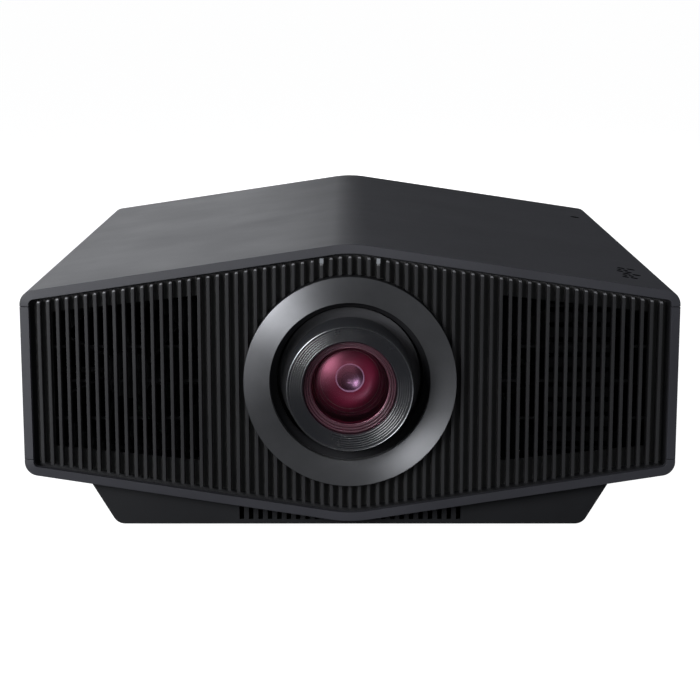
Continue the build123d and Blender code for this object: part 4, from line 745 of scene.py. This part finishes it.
def add_cross_bars(shape):
    """Short level bars in both windows, two pitches long with two pitches between, staggered by row."""
    span = 2
    first = math.ceil(WINDOW_INNER_X / SLAT_PITCH)
    last = math.floor(WINDOW_OUTER_X / SLAT_PITCH)
    y_low = PLATE_Y + FACE_GAP
    y_high = PLATE_Y + PLATE_THICKNESS - FACE_GAP
    half = CROSS_BAR_HEIGHT / 2
    for side in (-1, 1):
        for row, z in enumerate(CROSS_BAR_Z):
            for i in range(first - span + span * (row % 2), last, 2 * span):
                near = max(i * SLAT_PITCH, WINDOW_INNER_X - MM)
                far = min((i + span) * SLAT_PITCH, WINDOW_OUTER_X + MM)
                if far > WINDOW_INNER_X:
                    low_x, high_x = sorted((side * near, side * far))
                    shape.box((low_x, y_low, z - half), (high_x, y_high, z + half))


def make_front_grille():
    """Slats and cross bars, the plate behind them, and a thin dark sheet round the slats' ends that paints
    the shade beside the rim.
    """
    shape = Shape()
    add_front_slats(shape)
    add_cross_bars(shape)
    slats = shape.piece("front_grille_slats", "housing", GRILLE, slot="grille_plastic")
    paint_slat_tips(slats)
    outer = housing_outline(PLATE_INSET)
    holes = window_outlines(WINDOW_INNER_X, WINDOW_OUTER_X, WINDOW_LOW_Z, WINDOW_TOP_Z)
    holes.append(circle(LENS_OPENING_R, 0, LENS_Z, 128))
    mesh = plate_mesh("front_grille_plate", outer, holes, PLATE_Y, PLATE_Y + PLATE_THICKNESS)
    plate = place_mesh(mesh, "front_grille_plate", "housing", GRILLE_PLATE)
    # Painted shade: a thin sheet of dark recess plastic laid on the plate round the slats' ends, where the
    # rim's shade falls.
    holes = [housing_outline(SLAT_END_INSET)]
    mesh = plate_mesh("front_grille_painted_shade", outer, holes, PLATE_Y - MARGIN_THICKNESS, PLATE_Y)
    margin = place_mesh(mesh, "front_grille_painted_shade", "housing", RECESS)
    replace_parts(slats, "front_grille")
    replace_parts(plate, "front_grille")
    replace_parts(margin, "front_grille")


make_front_grille()


# ---- lens ring, cup and barrel ----
def rounded(profile, radius, steps=3):
    """A closed loop of points with every corner softened by a short arc."""
    points = []
    count = len(profile)
    for i in range(count):
        before = Vector(profile[i - 1])
        here = Vector(profile[i])
        after = Vector(profile[(i + 1) % count])
        reach = min(radius, (before - here).length * 0.45, (after - here).length * 0.45)
        start = here + (before - here).normalized() * reach
        end = here + (after - here).normalized() * reach
        for step in range(steps + 1):
            t = step / steps
            point = (1 - t) ** 2 * start + 2 * t * (1 - t) * here + t ** 2 * end
            points.append((point.x, point.y))
    return points


def axis_distance(face):
    return math.hypot(face.center.x, face.center.z - LENS_Z)


def make_lens_ring():
    """A wide turned ring with a slightly dished face, a smoother chamfer and an outer wall painted dark as
    shade in the gap beside the slats.
    """
    web_y = FRONT_Y + 3 * MM
    dish = 0.35 * MM
    edge_round = 0.45 * MM
    profile = [
        (RING_OUTER_R, PLATE_Y), (RING_OUTER_R, RING_FRONT_Y), (RING_INNER_R, RING_FRONT_Y + dish),
        (RING_INNER_R, web_y), (RING_FOOT_R, web_y), (RING_FOOT_R, PLATE_Y),
    ]
    shape = Shape()
    shape.lathe(rounded(profile, edge_round), 256)
    ring = shape.piece("lens_ring_turned", "housing", RING, slot="ring_metal")
    # Painted shade: the ring's outer wall takes the dark recess plastic, so the gap beside the slats reads as
    # even shade.
    ring.data.materials.append(RECESS)
    ring.data.materials.append(LENS_RIM)
    for face in ring.data.polygons:
        if axis_distance(face) > RING_OUTER_R - 0.4 * MM and face.center.y < PLATE_Y - MM:
            facing = abs(face.normal.y)
            if facing < 0.2:
                face.material_index = 1
            elif facing < 0.97:
                face.material_index = 2
    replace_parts(ring, "lens_ring")


def make_recess_cup():
    """A curved lip behind the ring, then a wider wall that leaves room for the lens shift."""
    low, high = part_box("lens_recess_cup")
    flange_y = PLATE_Y + PLATE_THICKNESS
    flange_end_y = flange_y + 2 * MM
    flange_r = 68 * MM
    cup_r = 58.4 * MM
    wall_r = 58.0 * MM
    mouth_r = 56.4 * MM
    lip_r = 51.8 * MM
    lip_y = FRONT_Y + 9.5 * MM
    lip_back_y = lip_y + 0.8 * MM
    hole_r = 52.5 * MM
    floor_y = high.y - 2 * MM
    steps = 10
    profile = [(mouth_r, low.y)]
    for i in range(1, steps + 1):
        t = i / steps
        radius = mouth_r - (mouth_r - lip_r) * math.sin(t * math.pi / 2)
        profile.append((radius, low.y + (lip_y - low.y) * t))
    profile += [
        (lip_r, lip_back_y), (wall_r, lip_back_y + 0.5 * MM), (wall_r, floor_y), (hole_r, floor_y),
        (hole_r, high.y), (cup_r, high.y), (cup_r, flange_end_y), (flange_r, flange_end_y),
        (flange_r, flange_y), (cup_r, flange_y), (cup_r, low.y),
    ]
    shape = Shape()
    shape.lathe(profile, 192)
    cup = shape.piece("lens_recess_cup_turned", "housing", RECESS, slot="grille_plastic")
    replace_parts(cup, "lens_recess_cup")


def make_light_shield():
    """A flared collar on the barrel that hides the gap which the lens shift needs; its lighter grey is
    painted light in the shaded recess.
    """
    root_y = FRONT_Y + 10.6 * MM
    root_r = BARREL_R + FACE_GAP
    lip_y = FRONT_Y + 17 * MM
    lip_r = 50.0 * MM
    thickness = 0.8 * MM
    steps = 12
    front = []
    for i in range(steps + 1):
        angle = math.pi / 2 * i / steps
        radius = root_r + (lip_r - root_r) * (1 - math.cos(angle))
        front.append((radius, root_y + (lip_y - root_y) * math.sin(angle)))
    back = [(r, y + thickness) for r, y in reversed(front)]
    shape = Shape()
    shape.lathe(front + back, 192)
    shape.piece("lens_light_shield", "lens", SHIELD, slot="lens_black")


def ribs(outer_r, inner_r, outer_y, inner_y, count):
    """Points of a cone from its outer to its inner edge, with rounded ribs standing towards -Y."""
    points = []
    step = (outer_r - inner_r) / count
    half_width = step * 0.42
    arc_steps = 6
    for i in range(count):
        middle_r = outer_r - (i + 0.5) * step
        base_y = outer_y + (inner_y - outer_y) * (i + 0.5) / count
        for part in range(arc_steps + 1):
            angle = math.pi * part / arc_steps
            points.append((middle_r + half_width * math.cos(angle), base_y - RIB_HEIGHT * math.sin(angle)))
    return points


def make_lens_barrel():
    """The barrel from its carriage to its rim, with rounded ribs round the cone in front of the glass."""
    head_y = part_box("horizontal_carriage")[0].y - 0.5 * MM
    cone_outer_r = BARREL_R - 2 * RIM_LINE_WIDTH
    cone_inner_r = GLASS_R + 0.5 * MM
    seat_y = RIM_Y + CONE_DEPTH
    seat_r = GLASS_R + 0.1 * MM
    seat_end_y = seat_y + 8 * MM
    throat_r = 31.5 * MM
    throat_end_y = seat_y + 30 * MM
    tube_r = 40 * MM
    bore_r = 37 * MM
    profile = [(BARREL_R, head_y), (BARREL_R, RIM_Y + 2.2 * MM), (BARREL_R - 0.35 * MM, RIM_Y + 1.8 * MM)]
    profile += [(BARREL_R - RIM_LINE_WIDTH, RIM_Y + 0.7 * MM), (cone_outer_r + 0.1 * MM, RIM_Y + 0.8 * MM)]
    profile += ribs(cone_outer_r, cone_inner_r, RIM_Y + 1.1 * MM, seat_y, CONE_RIBS)
    profile += [
        (seat_r, seat_y + 0.2 * MM), (seat_r, seat_end_y), (throat_r, seat_end_y), (throat_r, throat_end_y),
        (bore_r, throat_end_y + MM), (bore_r, BARREL_END_Y), (tube_r, BARREL_END_Y), (tube_r, head_y),
    ]
    shape = Shape()
    shape.lathe(profile, 256)
    barrel = shape.piece("lens_barrel_turned", "lens", LENS_BLACK, smooth=40.0, slot="lens_black")
    barrel.data.materials.append(SLEEVE)
    for face in barrel.data.polygons:
        if axis_distance(face) > BARREL_R - FACE_GAP:
            face.material_index = 1
    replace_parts(barrel, "lens_barrel")


def make_barrel_rim():
    """The metal line round the barrel's front edge."""
    profile = [
        (BARREL_R, RIM_Y + 1.9 * MM), (BARREL_R, RIM_Y + 0.6 * MM), (BARREL_R - 0.2 * MM, RIM_Y + 0.12 * MM),
        (BARREL_R - 0.45 * MM, RIM_Y), (BARREL_R - 0.75 * MM, RIM_Y + 0.1 * MM),
        (BARREL_R - RIM_LINE_WIDTH, RIM_Y + 0.65 * MM), (BARREL_R - 0.33 * MM, RIM_Y + 1.75 * MM),
    ]
    rim = Shape()
    rim.lathe(profile, 256)
    rim.piece("lens_barrel_rim", "lens", LENS_RIM, slot="lens_black")


def dome_profile(radius, edge_y, sag, steps=20):
    """A dome from its edge to its middle, bulging towards -Y."""
    sphere = (radius ** 2 + sag ** 2) / (2 * sag)
    points = []
    for i in range(steps + 1):
        r = radius * (1 - i / steps)
        points.append((r, edge_y - sag + sphere - math.sqrt(sphere ** 2 - r ** 2)))
    return points


def lens_dome(name, radius, edge_y, sag, thickness, material):
    """A meniscus: sag is how far its middle stands in front of its edge, or behind it if negative."""
    if sag > 0:
        front = dome_profile(radius, edge_y, sag)
    else:
        front = [(r, 2 * edge_y - y) for r, y in dome_profile(radius, edge_y, -sag)]
    back = [(r, y + thickness) for r, y in reversed(front)]
    shape = Shape()
    shape.lathe(front + back, 160)
    return shape.piece(name, "lens", material, smooth=60.0, slot="coated_glass")


def lens_band(name, profile, material, slot, segments=192):
    """A thin ring in the lens, softened at its corners."""
    shape = Shape()
    shape.lathe(rounded(profile, 0.2 * MM), segments)
    return shape.piece(name, "lens", material, slot=slot)


def make_front_glass():
    front = lens_dome("front_glass_dome", GLASS_R, GLASS_EDGE_Y, 2.9 * MM, ELEMENT_THICKNESS, FRONT_COATING)
    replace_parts(front, "front_glass")


def make_front_bezel():
    """A ribbed cell that narrows from the front glass to the second element, and its metal retainer; their
    mauve and pink tints are painted reflection.
    """
    outer_r = GLASS_R - 0.3 * MM
    body_r = 31.2 * MM
    start_y = GLASS_EDGE_Y + 2 * MM
    back_y = BEZEL_END_Y + 1.5 * MM
    profile = [(outer_r, start_y)]
    profile += ribs(outer_r, SECOND_R, start_y + 0.6 * MM, BEZEL_END_Y, BEZEL_RIBS)
    profile += [
        (SECOND_R, back_y), (body_r, back_y), (body_r, BEZEL_END_Y), (outer_r, BEZEL_END_Y - 0.5 * MM),
    ]
    bezel = Shape()
    bezel.lathe(profile, 192)
    bezel.piece("front_cell_bezel", "lens", BEZEL, slot="lens_black")
    lens_band("second_element_retainer", [
        (SECOND_R + 0.35 * MM, BEZEL_END_Y), (SECOND_R - 0.3 * MM, BEZEL_END_Y - 0.3 * MM),
        (SECOND_R - 0.6 * MM, BEZEL_END_Y + 0.1 * MM), (SECOND_R - 0.2 * MM, BEZEL_END_Y + 0.6 * MM),
    ], BEZEL_EDGE, "ring_metal")


def make_second_element():
    radius = 27 * MM
    lens_dome("second_lens_element", radius, SECOND_EDGE_Y, 6.5 * MM, ELEMENT_THICKNESS, SECOND_COATING)


def bowl_point(angle):
    """A point (radius, y) of the bowl's inner wall: angle 0 at its mouth, a right angle at its end."""
    radius = BOWL_END_R + (BOWL_MOUTH_R - BOWL_END_R) * math.cos(angle)
    return radius, BOWL_MOUTH_Y + (DEEP_Y - BOWL_MOUTH_Y) * math.sin(angle)


def make_inner_bowl():
    """The bowl between the second and the deep element; its crimson colour is a painted reflection of the
    coatings' glow.
    """
    wall = 1.5 * MM
    steps = 24
    inner = [bowl_point(math.pi / 2 * i / steps) for i in range(steps + 1)]
    outer = [(r + wall, y + wall) for r, y in reversed(inner)]
    bowl = Shape()
    bowl.lathe(inner + outer, 160)
    bowl.piece("inner_cell_bowl", "lens", BOWL, slot="lens_black")


def make_cell_edges():
    """Thin rings on the bowl's wall, lighter than the bowl, like the ends of lens cells; the lighter olive
    tone is a painted reflection.
    """
    half_width = 0.26 * MM
    half_depth = 0.30 * MM
    edges = Shape()
    for degrees in (14, 26, 38, 49):
        radius, y = bowl_point(math.radians(degrees))
        radius -= 0.25 * MM
        y -= 0.2 * MM
        edges.lathe([
            (radius - half_width, y), (radius, y - half_depth),
            (radius + half_width, y), (radius, y + half_depth),
        ], 160)
    edges.piece("inner_cell_edges", "lens", CELL_EDGE, slot="lens_black")


def make_deep_element():
    """The small element at the bowl's end, in a retainer whose pale lavender is a painted reflection."""
    lens_band("deep_element_retainer", [
        (DEEP_R + 0.55 * MM, DEEP_Y), (DEEP_R + 0.1 * MM, DEEP_Y - 0.45 * MM), (DEEP_R - 0.45 * MM, DEEP_Y),
        (DEEP_R - 0.1 * MM, DEEP_Y + 1.2 * MM),
    ], DEEP_EDGE, "ring_metal", segments=128)
    radius = DEEP_R - 0.4 * MM
    edge_y = DEEP_Y + 1.6 * MM
    lens_dome("deep_lens_element", radius, edge_y, -3.0 * MM, 0.8 * MM, DEEP_COATING)


def make_inner_stop():
    """A shallow cup that closes the view behind the deep element; its pale violet is a painted reflection."""
    outer_r = DEEP_R + 1.6 * MM
    floor_r = 6 * MM
    stop_y = DEEP_Y + 1.4 * MM
    profile = [
        (outer_r, stop_y), (DEEP_R - 0.2 * MM, stop_y + 0.6 * MM), (floor_r, stop_y + 5 * MM),
        (0, stop_y + 6.5 * MM), (0, stop_y + 7.5 * MM), (floor_r, stop_y + 6.2 * MM),
        (outer_r, stop_y + 1.6 * MM),
    ]
    stop = Shape()
    stop.lathe(profile, 96)
    stop.piece("inner_stop", "lens", DEEP_BOWL, slot="lens_black")


make_lens_ring()
make_recess_cup()
make_light_shield()
make_lens_barrel()
make_barrel_rim()
make_front_glass()
make_front_bezel()
make_second_element()
make_inner_bowl()
make_cell_edges()
make_deep_element()
make_inner_stop()


# ---- rear panel ----
def make_rear_plate():
    """A plate with two intake windows and an opening for the connector bay."""
    bay = [(BAY_LOW_X, BAY_LOW_Z), (BAY_HIGH_X, BAY_LOW_Z), (BAY_HIGH_X, BAY_HIGH_Z), (BAY_LOW_X, BAY_HIGH_Z)]
    holes = window_outlines(
        REAR_WINDOW_INNER_X, REAR_WINDOW_OUTER_X, REAR_WINDOW_LOW_Z, REAR_WINDOW_TOP_Z)
    holes.append(bay)
    outer = housing_outline(PLATE_INSET)
    mesh = plate_mesh("rear_panel_plate", outer, holes, REAR_PLATE_Y, REAR_FACE_Y, 0.25 * MM)
    return place_mesh(mesh, "rear_panel_plate", "housing", HOUSING)


def make_bay_walls():
    """Four walls from the connector plate out to the rear face."""
    end_y = REAR_FACE_Y - 0.3 * MM
    shape = Shape()
    for x0, x1 in ((bay_low.x, BAY_LOW_X), (BAY_HIGH_X, bay_high.x)):
        shape.box((x0, bay_high.y, bay_low.z), (x1, end_y, bay_high.z))
    for z0, z1 in ((bay_low.z, BAY_LOW_Z), (BAY_HIGH_Z, bay_high.z)):
        shape.box((BAY_LOW_X, bay_high.y, z0), (BAY_HIGH_X, end_y, z1))
    return shape.piece("rear_bay_walls", "housing", HOUSING, bevel=0.2 * MM, slot="housing_plastic")


def add_rear_slat(shape, x, y_face, y_root, low_of, high_of):
    """The front slat turned round to face +Y."""
    start = len(shape.points)
    add_slat(shape, x, -y_face, -y_root, low_of, high_of)
    for i in range(start, len(shape.points)):
        px, py, pz = shape.points[i]
        shape.points[i] = (px, -py, pz)


def make_rear_louvres():
    """Upright slats on both sides of the bay, with level bars behind them."""
    end_inset = REAR_RIM_WIDTH + 3 * MM
    bay_clearance = 14 * MM
    half_bar = REAR_BAR_HEIGHT / 2
    bottom, top = slat_ends(end_inset)
    slats = Shape()
    first = math.ceil((BAY_HIGH_X + bay_clearance) / SLAT_PITCH)
    for i in range(first, SLAT_COUNT // 2 + 1):
        for side in (-1, 1):
            add_rear_slat(slats, side * i * SLAT_PITCH, REAR_Y - MM, REAR_FACE_Y - FACE_GAP, bottom, top)
    y_low = REAR_PLATE_Y + FACE_GAP
    y_high = REAR_FACE_Y - FACE_GAP
    for side in (-1, 1):
        low_x, high_x = sorted((side * (REAR_WINDOW_INNER_X - MM), side * (REAR_WINDOW_OUTER_X + MM)))
        for z in REAR_BAR_Z:
            slats.box((low_x, y_low, z - half_bar), (high_x, y_high, z + half_bar))
    louvres = slats.piece("rear_panel_slats", "housing", GRILLE, slot="grille_plastic")
    paint_slat_tips(louvres)
    return louvres


def make_rear_panel():
    for piece in (make_rear_plate(), make_bay_walls(), make_rear_louvres()):
        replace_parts(piece, "rear_panel")


make_rear_panel()


# ---- small things on the roof ----
def add_roof_dash(shape, x0, x1, y0, y1):
    """A thin inlay that follows the sloping roof, with cut corners."""
    proud = 0.06 * MM
    sunk = -0.3 * MM
    soft = 0.25 * (y1 - y0)
    outline = [(x0 + soft, y0), (x1 - soft, y0), (x1, y0 + soft), (x1, y1 - soft),
               (x1 - soft, y1), (x0 + soft, y1), (x0, y1 - soft), (x0, y0 + soft)]
    rings = []
    for lift in (sunk, proud):
        rings.append([(x, y, outline_z(x, 0, True) + lift) for x, y in outline])
    shape.loft(rings)


def make_roof_dashes():
    """Six rows of two plain dashes beside the controls."""
    row_pitch = 9.5 * MM
    depth = 5.6 * MM
    shape = Shape()
    for row in range(6):
        y = FRONT_Y + 38 * MM + row * row_pitch
        start = 195 * MM + (row % 3) * 1.5 * MM
        length = (11, 8, 13)[row % 3] * MM
        add_roof_dash(shape, start, start + length * 0.42, y, y + depth)
        add_roof_dash(shape, start + length * 0.55, start + length, y, y + depth)
    shape.piece("roof_dashes", "housing", MARK, slot="housing_plastic")


def make_roof_plug():
    """A round plug with a softly domed top, near the roof's right rear corner."""
    x = 207 * MM
    y = FRONT_Y + 423 * MM
    radius = 4.2 * MM
    center = Vector((x, y, outline_z(x, 0, True)))
    tilt = Matrix.Rotation(math.atan(ROOF_SLOPE), 4, "Y")
    rings = []
    for share, lift in ((0.6, 0.22 * MM), (0.88, 0.18 * MM), (1.0, 0.05 * MM), (1.0, -0.5 * MM)):
        ring = []
        for px, py in circle(radius * share, 0, 0, 40):
            ring.append(center + tilt @ Vector((px, py, lift)))
        rings.append(ring)
    plug = Shape()
    plug.loft(rings)
    plug.piece("roof_plug", "housing", MARK, slot="housing_plastic")


make_roof_dashes()
make_roof_plug()


# ---- stage, lights and camera ----
def place_light(name, light, place, target):
    """Puts a lamp in the scene, turned towards its target."""
    obj = bpy.data.objects.new(name, light)
    obj.location = place
    obj.rotation_euler = (Vector(target) - Vector(place)).to_track_quat("-Z", "Y").to_euler()
    scene.collection.objects.link(obj)
    return obj


def area_light(name, place, target, size, power, reflected=True):
    """A soft panel of (width, height) metres; reflected is whether glossy surfaces show it."""
    light = bpy.data.lights.new(name, "AREA")
    light.shape = "RECTANGLE"
    light.size = size[0]
    light.size_y = size[1]
    light.energy = power
    light.color = (0.95, 0.965, 1.0)
    obj = place_light(name, light, place, target)
    obj.visible_camera = False
    obj.visible_glossy = reflected


def lens_spot(place, target, power):
    """A narrow soft lamp on the glass alone, for the bright point at its middle."""
    light = bpy.data.lights.new("lens_spot", "SPOT")
    light.energy = power
    light.shadow_soft_size = 0.03
    light.spot_size = 2 * math.atan(36 * MM / (Vector(target) - Vector(place)).length)
    light.spot_blend = 0.4
    place_light("lens_spot", light, place, target)


def make_stage():
    """A pale round floor that rises at its far rim, like a studio cove."""
    flat_radius = 20.0
    cove_reach = 15.0
    cove_rise = 8.0
    cove_steps = 8
    sides = 64
    profile = [(0.01, 0.0), (6.0, 0.0), (flat_radius, 0.0)]
    for i in range(1, cove_steps + 1):
        angle = math.pi / 2 * i / cove_steps
        profile.append((flat_radius + cove_reach * math.sin(angle), cove_rise * (1 - math.cos(angle))))
    spokes = []
    for i in range(sides):
        angle = 2 * math.pi * i / sides
        spokes.append([(r * math.cos(angle), r * math.sin(angle), z) for r, z in profile])
    shape = Shape()
    shape.loft(spokes, closed_rings=False, ends="loop")
    shape.faces.append(tuple(i * len(profile) for i in range(sides)))
    mesh = bpy.data.meshes.new("floor")
    mesh.from_pydata(shape.points, [], shape.faces)
    material, _, _, shader = new_material("floor_pale")
    shader.inputs["Base Color"].default_value = (0.35, 0.35, 0.35, 1)
    shader.inputs["Roughness"].default_value = 0.9
    shader.inputs["Specular IOR Level"].default_value = 0.0
    shader.inputs["Emission Color"].default_value = (1, 1, 1, 1)
    shader.inputs["Emission Strength"].default_value = 0.965
    mesh.materials.append(material)
    floor = bpy.data.objects.new("floor", mesh)
    scene.collection.objects.link(floor)
    floor.visible_diffuse = False
    floor.visible_glossy = False


def make_world():
    """A dim, even sky behind the floor."""
    world = bpy.data.worlds.new("studio")
    scene.world = world
    world.use_nodes = True
    background = world.node_tree.nodes["Background"]
    background.inputs["Color"].default_value = (0.9, 0.93, 1, 1)
    background.inputs["Strength"].default_value = 0.08


def make_lights():
    """Soft panels and a spot in front, then panels behind and beside."""
    area_light("key_softbox", (-1.02, -1.62, 0.73), (0, -0.2, 0.12), (0.9, 0.8), 34.5)
    area_light("front_floor_bounce", (-0.9, -1.3, 0.03), (-0.6, -0.8, 0.45), (0.5, 0.5), 1.5)
    area_light("fill_softbox", (1.15, -1.7, 0.50), (0, -0.2, 0.12), (1.2, 0.9), 10, reflected=False)
    lens_spot((0.06, -2.1, 0.62), (0, RIM_Y, LENS_Z), 14.0)
    area_light("back_left_panel", (-1.35, 2.3, 1.1), (0, 0, 0.15), (2.7, 1.2), 14)
    area_light("right_side_panel", (2.0, 0.6, 1.0), (0, 0.05, 0.1), (1.2, 0.9), 24, reflected=False)
    area_light("rear_panel", (0.5, 2.6, 0.35), (0, 0.2, 0.1), (1.6, 0.6), 12, reflected=False)
    area_light("left_side_panel", (-2.3, 0.5, 0.3), (0, 0.05, 0.1), (1.2, 0.6), 10, reflected=False)


def make_camera():
    """In front of the lens and above it, looking down at a shallow angle."""
    distance = 1.2547
    height = 0.3754
    down_angle = 10.77
    camera_data = bpy.data.cameras.new("camera")
    camera_data.sensor_width = 36.0
    camera_data.lens = 94.06
    camera = bpy.data.objects.new("camera", camera_data)
    camera.location = (0, FRONT_Y - distance, height)
    camera.rotation_euler = (math.radians(90 - down_angle), 0, 0)
    scene.collection.objects.link(camera)
    scene.camera = camera


make_stage()
make_world()
make_lights()
make_camera()
scene.view_settings.view_transform = "Standard"
